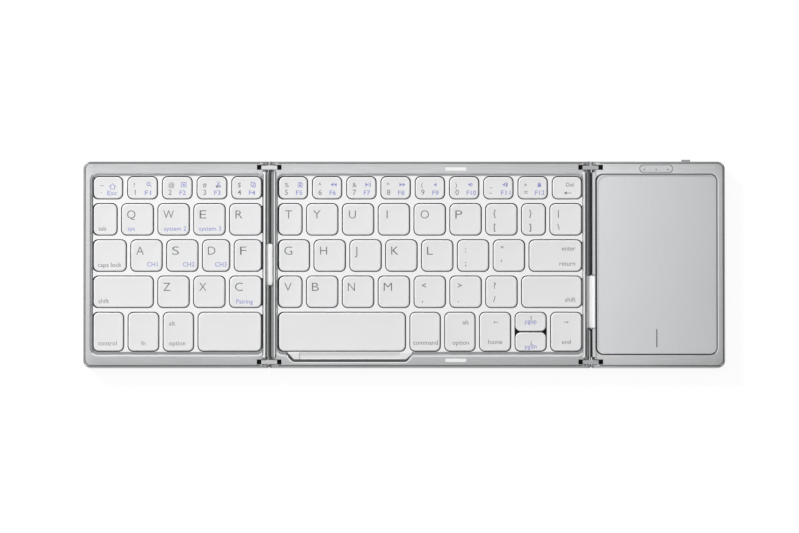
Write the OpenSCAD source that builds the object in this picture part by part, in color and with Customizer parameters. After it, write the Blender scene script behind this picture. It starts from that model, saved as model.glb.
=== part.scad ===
// Folding keyboard with a touchpad, opened flat.
// Millimetres. X runs along the width, +Y to the rear, +Z up. The origin lies under the middle of the
// whole object, on the surface that the rubber feet stand on.

/* [Panels] */
// Depth of the panels from front edge to rear edge
body_d = 98; // [90:0.1:108]
// Thickness of a panel without its feet
body_h = 7; // [6.8:0.1:8]
// Height of the rubber feet
foot_h = 0.6; // [0.4:0.1:2]
// Radius of the outer corners, seen from above
outer_r = 3.8; // [2.4:0.1:6]
// Radius of the rounded outer edges
edge_r = 1.1; // [0.4:0.1:1.4]
// Thickness of the side walls
wall = 1.6; // [1.4:0.1:1.8]
// Thickness of the top plate of the frames
plate_t = 1; // [0.8:0.1:1.2]
// Thickness of the floor of the bottom covers
floor_t = 1; // [0.8:0.1:1.2]
// Seam between the two wings when both are folded
fold_seam = 0.5; // [0.3:0.1:2]

/* [Hinges] */
// Space between two panels that lie folded on each other
fold_gap = 0.7; // [0.5:0.1:1.5]
// Radius of the round ends of the links
link_r = 1.75; // [1.4:0.05:1.9]
// Thickness of the links
link_t = 1.9; // [1.4:0.1:2]
// Radius of the hinge pins
pin_r = 0.8; // [0.5:0.05:1]
// Running clearance between a pin and its bore, measured on the radius
pin_clear = 0.05; // [0.02:0.01:0.1]
// Space between a link and the walls of its slot
link_clear = 0.25; // [0.15:0.05:0.35]
// Half the width of the strip between the metal rims of a hinge
rim_x = 2.1; // [1.7:0.1:2.4]
// How far the hinge rail lies under the surface of the frame
rail_step = 0.2; // [0.1:0.05:0.5]
// Length of the thick ends of a rail, which hold the pins
rail_end = 2.1; // [1.5:0.1:2.3]

/* [Ribbon cables] */
// Width of the sleeve over the ribbon cable, across the hinge
sleeve_w = 2.7; // [2:0.1:3.2]
// Thickness of the sleeve
sleeve_t = 0.7; // [0.5:0.1:1]
// Length of the left sleeve
sleeve_left = 19.5; // [10:0.5:30]
// Length of the right sleeve
sleeve_right = 24.6; // [10:0.5:30]
// Place of the left sleeve's middle along the depth
sleeve_left_y = 0.1; // [-20:0.1:20]
// Place of the right sleeve's middle along the depth
sleeve_right_y = -17.6; // [-25:0.1:25]

/* [Keys] */
// Width of a letter key. Each row fills its block: its keys keep these widths' proportions.
key_w = 14.75; // [13:0.05:17]
// Width of the letter keys that are a little wider, at both ends of the left top row and in the row in front
key_wide = 15; // [14:0.05:17]
// Width of the narrow letter keys beside a hinge
key_narrow = 11.2; // [11:0.1:13]
// Width of the two short keys at the right end of the left home row
key_short = 12.8; // [12:0.1:15]
// Width of the tab key
key_tab_w = 11.35; // [11:0.05:14]
// Width of the caps lock key
key_caps_w = 15.75; // [14:0.05:18]
// Width of the left shift key
key_left_shift_w = 28.6; // [26:0.1:32]
// Width of the control key
key_control = 14.55; // [13:0.05:16]
// Width of the function key beside it
key_fn = 14.4; // [13:0.1:16]
// Width of the option and command keys
key_option = 14.25; // [13:0.05:16]
// Width of the short space bar on the left wing
key_left_space_w = 29.9; // [27:0.1:33]
// Width of the backslash key
key_backslash_w = 14.9; // [14:0.1:18]
// Width of the enter key
key_enter_w = 24.8; // [23:0.1:28]
// Width of the right shift key
key_right_shift_w = 28.35; // [26:0.05:32]
// Width of the long space bar on the centre panel
key_centre_space_w = 60.25; // [55:0.05:66]
// Width of the arrow keys
key_arrow = 14.6; // [13:0.1:16]
// Space between neighbouring keys in a row
key_gap = 2.25; // [2.1:0.05:2.5]
// Space between neighbouring keys in the number row
number_gap = 2.5; // [2.2:0.1:3]
// Space between rows
row_gap = 2.4; // [2:0.1:3]
// Depth of the number row. The rows fill the space between the bezels, and keep these depths' proportions.
number_d = 10.4; // [10:0.1:12]
// Depth of the letter rows
key_d = 14.8; // [13:0.1:17]
// Depth of the front row
space_d = 18.3; // [17.5:0.1:20]
// Space between the two half-height arrow keys
half_gap = 0.5; // [0.4:0.1:0.7]
// Corner radius of the keys
key_r = 2.4; // [1.5:0.1:3]
// Radius of the rounded upper edges of the keys
key_edge_r = 0.4; // [0.2:0.05:0.6]
// Height of a keycap
cap_h = 2; // [1.8:0.1:2.4]
// Thickness of a keycap's top
cap_t = 1; // [0.8:0.1:1.2]
// Thickness of a keycap's sides
cap_wall = 0.9; // [0.6:0.05:0.95]
// How far the keys lie under the top of the frame
key_sink = 0.2; // [0.1:0.05:0.5]
// How far the deck between the keys lies under the top of the frame
deck_sink = 0.6; // [0.4:0.05:0.8]
// Thickness of the deck
deck_t = 1.2; // [0.9:0.1:1.4]
// Space between a key and the edge of its hole in the deck
key_clear = 0.35; // [0.2:0.05:0.45]
// Width of the block of keys on the left wing
left_block = 79.85; // [79.4:0.05:82]
// Width of the block of keys on the centre panel
centre_block = 143.8; // [143:0.1:147]

/* [Bezels] */
// Bezel behind the keys
rear_bezel = 7.3; // [7:0.1:9]
// Bezel in front of the keys
front_bezel = 8; // [7.9:0.1:10]
// Bezel outside the keys of the left wing
left_bezel = 4.7; // [4.4:0.1:6]
// From the keys of the left wing to the middle of the hinge gap
left_hinge_bezel = 3.7; // [3.4:0.05:3.8]
// From the keys of the centre panel to the middle of a hinge gap
centre_hinge_bezel = 4.35; // [4.2:0.05:6]
// Space between the keys and the edge of the frame, at the sides
trough_side = 0.6; // [0.5:0.05:0.7]
// Space between the keys and the edge of the frame, front and rear
trough_end = 1.25; // [0.8:0.05:1.3]
// Corner radius of the opening of the frame
trough_r = 3; // [2:0.1:3.6]
// Length of the thumb scoop's straight front edge
scoop_w = 52; // [30:0.5:56]
// Depth of the thumb scoop, front to back
scoop_d = 3.25; // [2:0.05:3.3]
// Length of the curves at the ends of the thumb scoop
scoop_run = 4.5; // [3:0.1:6]
// Left end of the thumb scoop, from the middle of the left hinge gap
scoop_x = 7.7; // [7.6:0.1:10]

/* [Edges of the frames] */
// Width of the sloped edge round an opening of a frame
slope_w = 0.35; // [0.2:0.05:0.4]
// How deep the sloped edge reaches
slope_h = 0.5; // [0.3:0.05:0.6]
// Distance of the fine groove from the outer edges of the frames
groove_in = 0.9; // [0.8:0.05:1.1]
// Width of that groove
groove_w = 0.25; // [0.15:0.05:0.4]
// Depth of that groove
groove_t = 0.15; // [0.1:0.05:0.3]

/* [Touchpad] */
// Bezel outside the touchpad
pad_bezel = 3.95; // [3.8:0.05:6]
// From the touchpad's opening to the middle of the hinge gap
pad_hinge_bezel = 3; // [2.9:0.1:4]
// Bezel behind and in front of the touchpad
pad_end_bezel = 6.4; // [6.2:0.1:7]
// Corner radius of the touchpad's opening
pad_r = 4.7; // [3:0.1:6]
// Space round the touchpad
pad_clear = 0.3; // [0.2:0.05:0.5]
// How far the touchpad lies under the top of the frame
pad_sink = 0.25; // [0.1:0.05:0.4]
// Thickness of the touchpad plate
pad_t = 1.15; // [0.9:0.05:1.3]
// Length of the engraved line between the touchpad's two click zones
pad_line_l = 8.7; // [6:0.1:12]
// Width of that line
pad_line_w = 0.3; // [0.2:0.05:0.5]

/* [Switch, socket and lights] */
// How far the switch knob stands out of the rear edge
knob_out = 1; // [0.6:0.1:2]
// Width of the switch knob
knob_w = 4.1; // [3:0.1:5]
// Height of the switch knob
knob_h = 1.6; // [1.2:0.1:1.8]
// Travel of the switch knob
knob_travel = 2; // [1:0.1:2.5]
// Distance from the outer edge of the right wing to the knob
knob_from_edge = 16.4; // [14:0.1:17]
// Length of the indicator window
window_w = 15.4; // [14:0.1:17]
// Depth of the indicator window
window_d = 3.4; // [3:0.1:3.6]
// Distance from the outer edge of the right wing to the middle of the window
window_from_edge = 32.65; // [31:0.1:34]
// Width of the charging socket
socket_w = 7.5; // [7:0.1:8.2]
// Height of the charging socket
socket_h = 2.5; // [2.2:0.1:2.6]

/* [Hidden] */

// Fineness of round faces, how far a cut runs past the face that it opens, and a hair that keeps arcs apart
round_fn = 48;
pin_fn = 32;
cut = 0.5;
hair = 0.01;

// Heights
z_under = foot_h;
z_top = foot_h + body_h;
nose_r = body_h / 2;
z_pin = foot_h + nose_r;
z_floor = z_under + floor_t;
z_plate = z_top - plate_t;
slot_half = link_r + link_clear;
z_seam = z_pin - slot_half;
seam_gap = 0.12;
z_frame = z_seam + seam_gap;
ribbon_t = 0.2;
ribbon_sink = 1.4;
z_ribbon = z_top - ribbon_sink;

// Panels along the width: the middle of each hinge gap and the two outer edges
pin_pitch = body_h + fold_gap;
pin_x = pin_pitch / 2;
centre_w = centre_block + 2 * centre_hinge_bezel;
left_w = left_bezel + left_block + left_hinge_bezel;
right_w = centre_w - left_w - fold_seam;
total_w = left_w + centre_w + right_w;
x_left = -total_w / 2;
x_right = total_w / 2;
gap_left = x_left + left_w;
gap_right = x_right - right_w;

// Panels along the depth: the knob stands out at the rear, so the middle of the panels lies in front
y_mid = -knob_out / 2;
y_rear = y_mid + body_d / 2;
y_front = y_mid - body_d / 2;
slot_w = link_t + 2 * link_clear;
slot_y = body_d / 2 - wall - slot_w / 2;
rail_y = body_d / 2 - wall - slot_w;
block_y = rail_y - rail_end;
block_x = slot_half + 1;
link_play = 0.02;
pin_in = 0.1;

// Ribbon cables: how far they reach from the gap, how much narrower they are than their sleeve at each end,
// the slits in the rails that they run through and the space round a sleeve
ribbon_reach = 2.9;
ribbon_in = 0.7;
slit_h = 0.5;
sleeve_clear = 0.2;
crown_r = 4;
end_r = 0.6;

// Keys of each row, from the rear to the front; those of the number row are alike
key_rows_left = [
    [for (i = [1 : 5]) 1],
    [key_tab_w, key_wide, key_w, key_w, key_wide],
    [key_caps_w, key_w, key_w, key_short, key_short],
    [key_left_shift_w, key_w, key_w, key_wide],
    [key_control, key_fn, key_option, key_left_space_w]
];
key_rows_centre = [
    [for (i = [1 : 9]) 1],
    [key_narrow, key_w, key_w, key_w, key_w, key_w, key_w, key_narrow, key_backslash_w],
    [key_w, key_w, key_w, key_w, key_w, key_w, key_w, key_enter_w],
    [key_narrow, key_w, key_w, key_w, key_w, key_w, key_w, key_right_shift_w],
    [key_centre_space_w, key_option, key_option, key_arrow, key_arrow, key_arrow]
];
rows_d = body_d - rear_bezel - front_bezel;
row_depths = fill([number_d, key_d, key_d, key_d, space_d], rows_d, row_gap);
half_column = 4;
half_d = (row_depths[4] - half_gap) / 2;
keys_x_left = x_left + left_bezel;
keys_x_centre = gap_left + centre_hinge_bezel;
keys_y = y_rear - rear_bezel;
z_key = z_top - key_sink;
z_cap = z_key - cap_h;
z_deck = z_top - deck_sink;
z_deck_under = z_deck - deck_t;

// Layers under the keys
base_t = 0.4;
membrane_t = 0.3;
z_membrane = z_floor + base_t;
z_switch = z_membrane + membrane_t;
stem_h = 1.2;
stem_r = 1.3;
z_ceiling = z_key - cap_t;
dome_r = 2.1;
dome_top_r = 1.2;
dome_wall = 0.4;
scissor_side = 0.5;
scissor_end = 0.05;
scissor_w = key_narrow - 2 * (cap_wall + scissor_side);
scissor_l = half_d - 2 * (cap_wall + scissor_end);
scissor_bar = 0.8;
scissor_t = 0.6;
scissor_rise = 0.55;
scissor_play = 0.2;
scissor_inset = 1.5;
base_in = 0.2;
membrane_in = 0.7;

// Opening of each frame: [x0, y0, x1, y1]
trough_y0 = keys_y - rows_d - trough_end;
trough_y1 = keys_y + trough_end;
function trough(x, w) = [x - trough_side, trough_y0, x + w + trough_side, trough_y1];
trough_left = trough(keys_x_left, left_block);
trough_centre = trough(keys_x_centre, centre_block);
trough_pad = [
    gap_right + pad_hinge_bezel, y_front + pad_end_bezel,
    x_right - pad_bezel, y_rear - pad_end_bezel
];
scoop_x0 = gap_left + scoop_x;
deck_clear = 0.15;
flange_w = 0.8;
deep_in = 2;

// Fasteners, feet, magnets and catch bars
screw_r = 0.7;
screw_head_r = 1.5;
screw_head_t = 0.5;
cross_l = 1.8;
cross_w = 0.4;
screw_clear = 0.03;
screw_slack = 0.1;
screw_sink = 0.05;
screw_tip_room = 0.2;
boss_r = 1.4;
boss_y = body_d / 2 - wall - boss_r - 0.1;
z_screw_tip = z_plate - 1.4;
foot_r = 4;
foot_y = body_d / 2 - 9;
magnet_r = 1.7;
magnet_t = 1.5;
magnet_y = body_d / 2 - wall - magnet_r - 0.2;
magnet_in = wall + magnet_r + 0.3;
bar_w = 10;
bar_d = 1.7;
bar_corner = 0.45;
bar_clear = 0.05;
bar_flange = 0.35;
bar_flange_end = 1;
bar_flange_t = 0.6;
bar_x = x_left + left_w * 2 + fold_seam / 2;
bar_y = body_d / 2 - 3.6;

// Screws and feet: distances from a panel's outer edge, from a hinge gap's middle and from the catch bars
screw_left_in = 12.25;
screw_right_in = 8.25;
screw_left_gap = 16;
screw_right_gap = 15.5;
screw_centre_gap = 18.75;
screw_bar = 12.5;
screw_front_bar = 20.5;
screws_left = [x_left + screw_left_in, gap_left - screw_left_gap];
screws_right = [gap_right + screw_right_gap, x_right - screw_right_in];
screws_centre_rear = [gap_left + screw_centre_gap, bar_x - screw_bar, gap_right - screw_centre_gap];
screws_centre_front = [bar_x - screw_bar, bar_x + screw_front_bar, gap_right - screw_centre_gap];
foot_in = 8.25;
foot_left_gap = 12;
foot_centre_gap = 13.75;
foot_right_gap = 9.5;
feet_left = [x_left + foot_in, gap_left - foot_left_gap];
feet_centre = [gap_left + foot_centre_gap, gap_right - foot_centre_gap];
feet_right = [gap_right + foot_right_gap, x_right - foot_in];

// Touchpad, board, battery and switch
z_pad = z_top - pad_sink;
z_pad_under = z_pad - pad_t;
pad_board_t = 1;
pad_board_in = 2;
z_pad_board = z_pad_under - pad_board_t;
pad_tongue_w = 8;
pad_tongue_l = 1.3;
pad_tongue_t = 0.3;
pad_tongue_root = 2;
pad_chip_w = 6;
pad_chip_h = 0.3;
pad_line_in = 3.4;
pad_line_t = 0.2;
click_r = 1.8;
click_h = 1;
click_gap = 0.5;
click_in = 8;
click_y = trough_pad[1] + click_in;
pad_mid = (trough_pad[0] + trough_pad[2]) / 2;
z_board = z_floor + 0.8;
board_t = 1;
knob_x = x_right - knob_from_edge - knob_w;
window_x = x_right - window_from_edge;
window_y = body_d / 2 - wall - window_d / 2 - 0.15;
socket_x = window_x;
socket_r = 0.8;
socket_shell = 0.3;
socket_slack = 0.2;
socket_l = 7.2;
tongue_w = 4.4;
tongue_t = 0.6;
boss_room = 0.6;
board_x0 = screws_right[0] + boss_r + boss_room;
board_x1 = screws_right[1] - boss_r - boss_room;
board_in = 0.9;
board_d = 26.5;
board_y1 = body_d / 2 - wall - board_in;
board_y0 = board_y1 - board_d;
post_in = 2;
post_r = 1.5;
click_post_r = 2.5;
battery_in = 19;
battery_gap = 4;
battery_r = 1.5;
battery_y0 = battery_in - body_d / 2;
battery_y1 = board_y0 - battery_gap;
battery_h = 2.8;

// Chips of the main board: [distance from the touchpad's middle, from the board's front edge, size, height]
processor = [-12, 6, 7, 0.7];
radio_module = [4, 5, 10, 0.9];
switch_housing_d = 3.15;
switch_housing_side = 0.5;
switch_housing_top = 0.3;
board_edge = 0.05;

// Sum of the first n entries of a list
function sum(v, n, i = 0) = i >= n ? 0 : v[i] + sum(v, n, i + 1);
// Lengths in the proportions of a list, which fill a total length together with the gaps between them
function fill(parts, total, gap) =
    let (n = len(parts), share = (total - gap * (n - 1)) / sum(parts, n)) [for (p = parts) p * share];
// Keys of one row as [left, front, width, depth]
function row_keys(rows, r, x, total) =
    let (gap = r == 0 ? number_gap : key_gap, w = fill(rows[r], total, gap))
    [for (i = [0 : len(w) - 1]) [
        x + sum(w, i) + i * gap,
        keys_y - sum(row_depths, r + 1) - r * row_gap,
        w[i],
        row_depths[r]
    ]];
// The upper (half = 1) or lower (half = 0) half of a key that is split in two
function half_key(k, half) = [k[0], k[1] + half * (half_d + half_gap), k[2], half_d];

left_keys = [for (r = [0 : 4]) row_keys(key_rows_left, r, keys_x_left, left_block)];
centre_keys = [for (r = [0 : 4]) row_keys(key_rows_centre, r, keys_x_centre, centre_block)];
split_key = centre_keys[4][half_column];
arrow_keys = [centre_keys[4][3], half_key(split_key, 1), half_key(split_key, 0), centre_keys[4][5]];
function span(keys, a, b) = [for (i = [a : b]) keys[i]];
function flat(lists) = [for (l = lists) each l];
all_left = flat(left_keys);
all_centre = concat(flat(span(centre_keys, 0, 3)), span(centre_keys[4], 0, 2), arrow_keys);

aluminium = [0.76, 0.77, 0.78];
bright_metal = [0.88, 0.88, 0.89];
dark_metal = [0.5, 0.51, 0.53];
key_white = [0.92, 0.92, 0.93];
deck_white = [0.96, 0.96, 0.97];
pad_grey = [0.78, 0.78, 0.79];
steel = [0.62, 0.63, 0.65];
rubber_grey = [0.35, 0.36, 0.38];
board_green = [0.13, 0.4, 0.25];
film_grey = [0.75, 0.8, 0.82];
dome_white = [0.85, 0.86, 0.88];
scissor_white = [0.8, 0.8, 0.82];
sleeve_white = [0.95, 0.95, 0.96];
foil_grey = [0.72, 0.74, 0.78];
knob_grey = [0.3, 0.31, 0.33];

// Rectangle with round corners, out of true arcs
module rounded(x0, y0, x1, y1, r) {
    translate([x0 + r, y0]) square([x1 - x0 - 2 * r, y1 - y0]);
    translate([x0, y0 + r]) square([x1 - x0, y1 - y0 - 2 * r]);
    for (x = [x0 + r, x1 - r], y = [y0 + r, y1 - r]) translate([x, y]) circle(r = r, $fn = round_fn);
}

// A box between two corners
module block(a, b) {
    translate(a) cube(b - a);
}

// Extrudes a shape drawn in X and Z along Y, between y0 and y1
module along_y(y0, y1) {
    translate([0, y1, 0]) rotate([90, 0, 0]) linear_extrude(y1 - y0) children();
}

// Repeats at the rear and at the front, y from the middle of the panels
module front_and_rear(y) {
    for (s = [-1, 1]) translate([0, y_mid + s * y, 0]) children();
}

// Outer form of a wing: side = -1 is the left wing, 1 the right. Its outer edges are rounded and it
// ends in a half-round nose about its hinge pin.
module wing_form(side) {
    edge = side < 0 ? x_left : x_right;
    pin = side < 0 ? gap_left - pin_x : gap_right + pin_x;
    lo = min(edge, pin);
    hi = max(edge, pin);
    tail = outer_r * 2;
    intersection() {
        linear_extrude(z_top + cut) union() {
            rounded(side < 0 ? edge : hi - tail, y_front, side < 0 ? lo + tail : edge, y_rear,
                outer_r - hair);
            translate([side < 0 ? lo + outer_r : lo - nose_r, y_front])
                square([hi - lo - outer_r + nose_r, body_d]);
        }
        along_y(y_front - cut, y_rear + cut) {
            rounded(side < 0 ? edge : hi - tail, z_under, side < 0 ? lo + tail : edge, z_top, edge_r);
            translate([side < 0 ? lo + edge_r : lo, z_under]) square([hi - lo - edge_r, body_h]);
            translate([pin, z_pin]) circle(r = nose_r, $fn = 2 * round_fn);
        }
        edge_form();
    }
}

// Outer form of the centre panel, with a nose at each side
module centre_form() {
    lo = gap_left + pin_x;
    hi = gap_right - pin_x;
    intersection() {
        along_y(y_front, y_rear) {
            translate([lo, z_under]) square([hi - lo, body_h]);
            for (x = [lo, hi]) translate([x, z_pin]) circle(r = nose_r, $fn = 2 * round_fn);
        }
        edge_form();
    }
}

// Rounds the front and rear edges of every panel
module edge_form() {
    translate([x_left - cut, 0, 0]) rotate([90, 0, 90]) linear_extrude(total_w + 2 * cut)
        rounded(y_front, z_under, y_rear, z_top, edge_r);
}

// Fine groove along the outer edges of all three frames, which lie in one outline
module edge_groove() {
    translate([0, 0, z_top - groove_t]) linear_extrude(groove_t + cut) difference() {
        outline(groove_in);
        outline(groove_in + groove_w);
    }
}

// Outline of the whole open keyboard, drawn in by e
module outline(e) {
    rounded(x_left + e, y_front + e, x_right - e, y_rear - e, outer_r - e);
}

// Cutter for the sloped edge round an opening with the corner radius r: it grows wider towards the top
module sloped_edge(t, r) {
    lean = slope_w / slope_h;
    narrow = lean * cut;
    wide = slope_w + lean * cut;
    z0 = z_top - slope_h - cut;
    z1 = z_top + cut;
    for (x = [t[0] + r, t[2] - r], y = [t[1] + r, t[3] - r]) translate([x, y, z0])
        cylinder(r1 = r - narrow, r2 = r + wide, h = z1 - z0, $fn = round_fn);
    along_y(t[1] + r, t[3] - r)
        polygon([[t[0] + narrow, z0], [t[2] - narrow, z0], [t[2] + wide, z1], [t[0] - wide, z1]]);
    translate([t[0] + r, 0, 0]) rotate([90, 0, 90]) linear_extrude(t[2] - t[0] - 2 * r)
        polygon([[t[1] + narrow, z0], [t[3] - narrow, z0], [t[3] + wide, z1], [t[1] - wide, z1]]);
}

// Opening of the frame over the keys, drawn in by e; scoop adds the thumb scoop
module trough_shape(t, e, scoop) {
    rounded(t[0] + e, t[1] + e, t[2] - e, t[3] - e, trough_r - e);
    if (scoop) {
        x0 = scoop_x0 + e;
        x1 = scoop_x0 + 2 * scoop_run + scoop_w - e;
        y0 = t[1] - scoop_d + e;
        steps = 8;
        fall = [for (i = [0 : steps]) (1 - cos(180 * i / steps)) / 2];
        polygon(concat(
            [for (i = [0 : steps]) [x0 + scoop_run * i / steps, t[1] + e - scoop_d * fall[i]]],
            [for (i = [0 : steps]) [x1 - scoop_run * (1 - i / steps), y0 + scoop_d * fall[i]]],
            [[x1, t[1] + trough_r], [x0, t[1] + trough_r]]
        ));
    }
}

// The space that both hinge slots, the rim and the rail take out of a frame, at one hinge side of it.
// dir points from the panel to the gap.
module hinge_cut(gap, dir) {
    pin = gap - dir * pin_x;
    slot_x0 = pin - dir * slot_half;
    rim = gap - dir * rim_x;
    far = gap + dir * cut;
    front_and_rear(slot_y)
        block([min(slot_x0, far), -slot_w / 2, z_seam], [max(slot_x0, far), slot_w / 2, z_top + cut]);
    block([min(rim, far), y_mid - rail_y, z_seam - cut], [max(rim, far), y_mid + rail_y, z_top + cut]);
    block([min(pin - dir * block_x, far), y_mid - rail_y, z_seam - cut],
        [max(pin - dir * block_x, far), y_mid + rail_y, z_plate]);
}

// Bores for the hinge pins of one panel side
module pin_bores(pin) {
    front_and_rear(0) translate([pin, 0, z_pin]) rotate([90, 0, 0])
        cylinder(r = pin_r + pin_clear, h = body_d + 2 * cut, center = true, $fn = pin_fn);
}

// Hollow inside a panel between its walls, x0 to x1
module cavity(x0, x1, z0, z1) {
    r = max(outer_r - wall, 1);
    translate([0, 0, z0]) linear_extrude(z1 - z0)
        rounded(x0, y_front + wall, x1, y_rear - wall, r);
}

// Boss that takes a screw, from the floor of the bottom cover up to the top plate
module bosses(xs, sides) {
    for (x = xs, s = sides) translate([x, y_mid + s * boss_y, z_floor])
        difference() {
            cylinder(r = boss_r, h = z_plate - z_floor + plate_t / 2, $fn = pin_fn);
            translate([0, 0, -cut]) cylinder(
                r = screw_r + screw_clear, h = z_screw_tip - z_floor + cut + screw_tip_room, $fn = pin_fn
            );
        }
}

// Screws with a flat head and a cross recess
module screws(xs, sides) {
    color(dark_metal) for (x = xs, s = sides) translate([x, y_mid + s * boss_y, z_under]) difference() {
        union() {
            translate([0, 0, screw_sink]) cylinder(r = screw_head_r, h = screw_head_t, $fn = pin_fn);
            translate([0, 0, 2 * screw_sink])
                cylinder(r = screw_r, h = z_screw_tip - z_under - 2 * screw_sink, $fn = pin_fn);
        }
        for (a = [0, 90]) rotate(a) cube([cross_l, cross_w, screw_head_t], center = true);
    }
}

// Stepped holes for the screws in a bottom cover
module screw_holes(xs, sides) {
    for (x = xs, s = sides) translate([x, y_mid + s * boss_y, z_under - cut]) {
        cylinder(r = screw_head_r + screw_slack, h = cut + screw_sink + screw_head_t, $fn = pin_fn);
        cylinder(r = screw_r + screw_slack, h = floor_t + 2 * cut, $fn = pin_fn);
    }
}

module feet(xs) {
    color(rubber_grey) for (x = xs) front_and_rear(foot_y) translate([x, 0, 0]) {
        cylinder(r = foot_r, h = foot_h, $fn = pin_fn);
    }
}

// Bottom cover: everything of the outer form below the seam, with the hollow for the layers inside.
// hollow is [x0, x1] of the wide part, deep_hollow [x0, x1] of the part that reaches the rails.
module bottom_cover(hollow, deep_hollow) {
    color(aluminium) difference() {
        intersection() {
            children(0);
            block([x_left - cut, y_front - cut, 0], [x_right + cut, y_rear + cut, z_seam]);
        }
        cavity(hollow[0], hollow[1], z_floor, z_seam + cut);
        block([deep_hollow[0], y_mid - block_y, z_floor], [deep_hollow[1], y_mid + block_y, z_seam + cut]);
        children(1);
    }
}

// Half-round bar along a hinge side, with a thick end at the front and at the rear for the pins.
// back is the x of its inner face, dir points from the panel to the gap.
module hinge_rail(gap, dir, back, sleeve_y, sleeve_l) {
    pin = gap - dir * pin_x;
    front = gap - dir * (fold_gap / 2 - rail_step);
    rim = gap - dir * rim_x;
    block_end = pin - dir * (block_x - hair);
    color(dark_metal) difference() {
        intersection() {
            union() {
                block([min(back, front), y_mid - rail_y, z_seam], [max(back, front), y_mid + rail_y, z_top]);
                front_and_rear(rail_y - rail_end / 2) block(
                    [min(block_end, front), -rail_end / 2, z_seam],
                    [max(block_end, front), rail_end / 2, z_top]
                );
            }
            along_y(y_front, y_rear) {
                translate([pin, z_pin]) circle(r = nose_r - rail_step, $fn = 2 * round_fn);
                translate([min(block_end, pin), z_seam]) square([abs(block_end - pin), z_top - z_seam]);
            }
        }
        block([min(block_end, rim) - (dir > 0 ? cut : 0), y_front, z_plate],
            [max(block_end, rim) + (dir > 0 ? 0 : cut), y_rear, z_top + cut]);
        pin_bores(pin);
        sleeve_room(gap, sleeve_y, sleeve_l);
        translate([gap, y_mid + sleeve_y, z_ribbon])
            cube([2 * block_x + pin_pitch, sleeve_l - 2 * (ribbon_in - sleeve_clear), slit_h], center = true);
    }
}

// Window that both rails of a hinge leave for the ribbon's sleeve
module sleeve_room(gap, y, l) {
    half = [sleeve_w / 2 + sleeve_clear, l / 2 + sleeve_clear];
    middle = [gap, y_mid + y];
    block([each (middle - half), z_pin + slit_h], [each (middle + half), z_top]);
}

// Ribbon cable across a hinge and the soft sleeve round it, with a slightly crowned top
module ribbon(gap, y, l) {
    z_sleeve = z_ribbon - sleeve_t / 2;
    color(sleeve_white) translate([gap, y_mid + y, 0]) union() {
        intersection() {
            translate([0, 0, z_sleeve]) linear_extrude(sleeve_t)
                rounded(-sleeve_w / 2, -l / 2, sleeve_w / 2, l / 2, end_r);
            translate([0, 0, z_sleeve + sleeve_t - crown_r]) rotate([90, 0, 0])
                cylinder(r = crown_r, h = l + cut, center = true, $fn = round_fn);
        }
        translate([0, 0, z_ribbon]) cube([2 * ribbon_reach, l - 2 * ribbon_in, ribbon_t], center = true);
    }
}

// Two links of one hinge, with an eye for a pin at each end
module links(gap) {
    color(bright_metal) front_and_rear(slot_y) translate([gap, link_t / 2, z_pin]) rotate([90, 0, 0])
        linear_extrude(link_t) difference() {
            union() {
                translate([-pin_x, -link_r]) square([pin_pitch, 2 * link_r]);
                for (s = [-1, 1]) translate([s * pin_x, 0]) circle(r = link_r, $fn = round_fn);
            }
            for (s = [-1, 1]) translate([s * pin_x, 0]) circle(r = pin_r + link_play, $fn = pin_fn);
        }
}

// The four pins of one hinge
module hinge_pins(gap) {
    reach = body_d / 2 - pin_in - block_y;
    color(steel) for (s = [-1, 1], x = [gap - pin_x, gap + pin_x])
        translate([x, y_mid + s * (block_y + reach / 2), z_pin]) rotate([90, 0, 0])
            cylinder(r = pin_r, h = reach, center = true, $fn = pin_fn);
}

// Deck between the keys: a plate with a hole for each key, and a flange under the frame
module key_deck(t, keys, flange, scoop) {
    color(deck_white) difference() {
        union() {
            translate([0, 0, z_deck_under]) linear_extrude(deck_t) trough_shape(t, deck_clear, scoop);
            block([flange[0], t[1] - flange_w, z_deck_under], [flange[1], t[3] + flange_w, z_plate]);
            if (scoop) block([scoop_x0, t[1] - scoop_d - flange_w / 2, z_deck_under],
                [scoop_x0 + 2 * scoop_run + scoop_w, t[1], z_plate]);
        }
        for (k = keys) translate([0, 0, z_deck_under - cut]) linear_extrude(deck_t + 2 * cut)
            rounded(k[0] - key_clear, k[1] - key_clear, k[0] + k[2] + key_clear, k[1] + k[3] + key_clear,
                key_r + key_clear);
        if (scoop) thumb_cove(t);
    }
}

// Shallow round hollow in front of the long space bar
module thumb_cove(t) {
    cove_r = 6;
    cove_depth = 0.35;
    cove_in = 0.2;
    half = cove_r * sin(acos(1 - cove_depth / cove_r));
    translate([scoop_x0 + scoop_run + half, t[1] - scoop_d / 2 + cove_in, z_deck - cove_depth + cove_r])
        rotate([0, 90, 0]) cylinder(r = cove_r, h = scoop_w - 2 * half, $fn = 2 * round_fn);
}

// Steel plate under a block of keys
module base_plate(t) {
    color(steel) translate([0, 0, z_floor]) linear_extrude(base_t) trough_shape(t, base_in, false);
}

// Contact film on the steel plate
module membrane(t) {
    color(film_grey) translate([0, 0, z_membrane]) linear_extrude(membrane_t)
        trough_shape(t, membrane_in, false);
}

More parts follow.
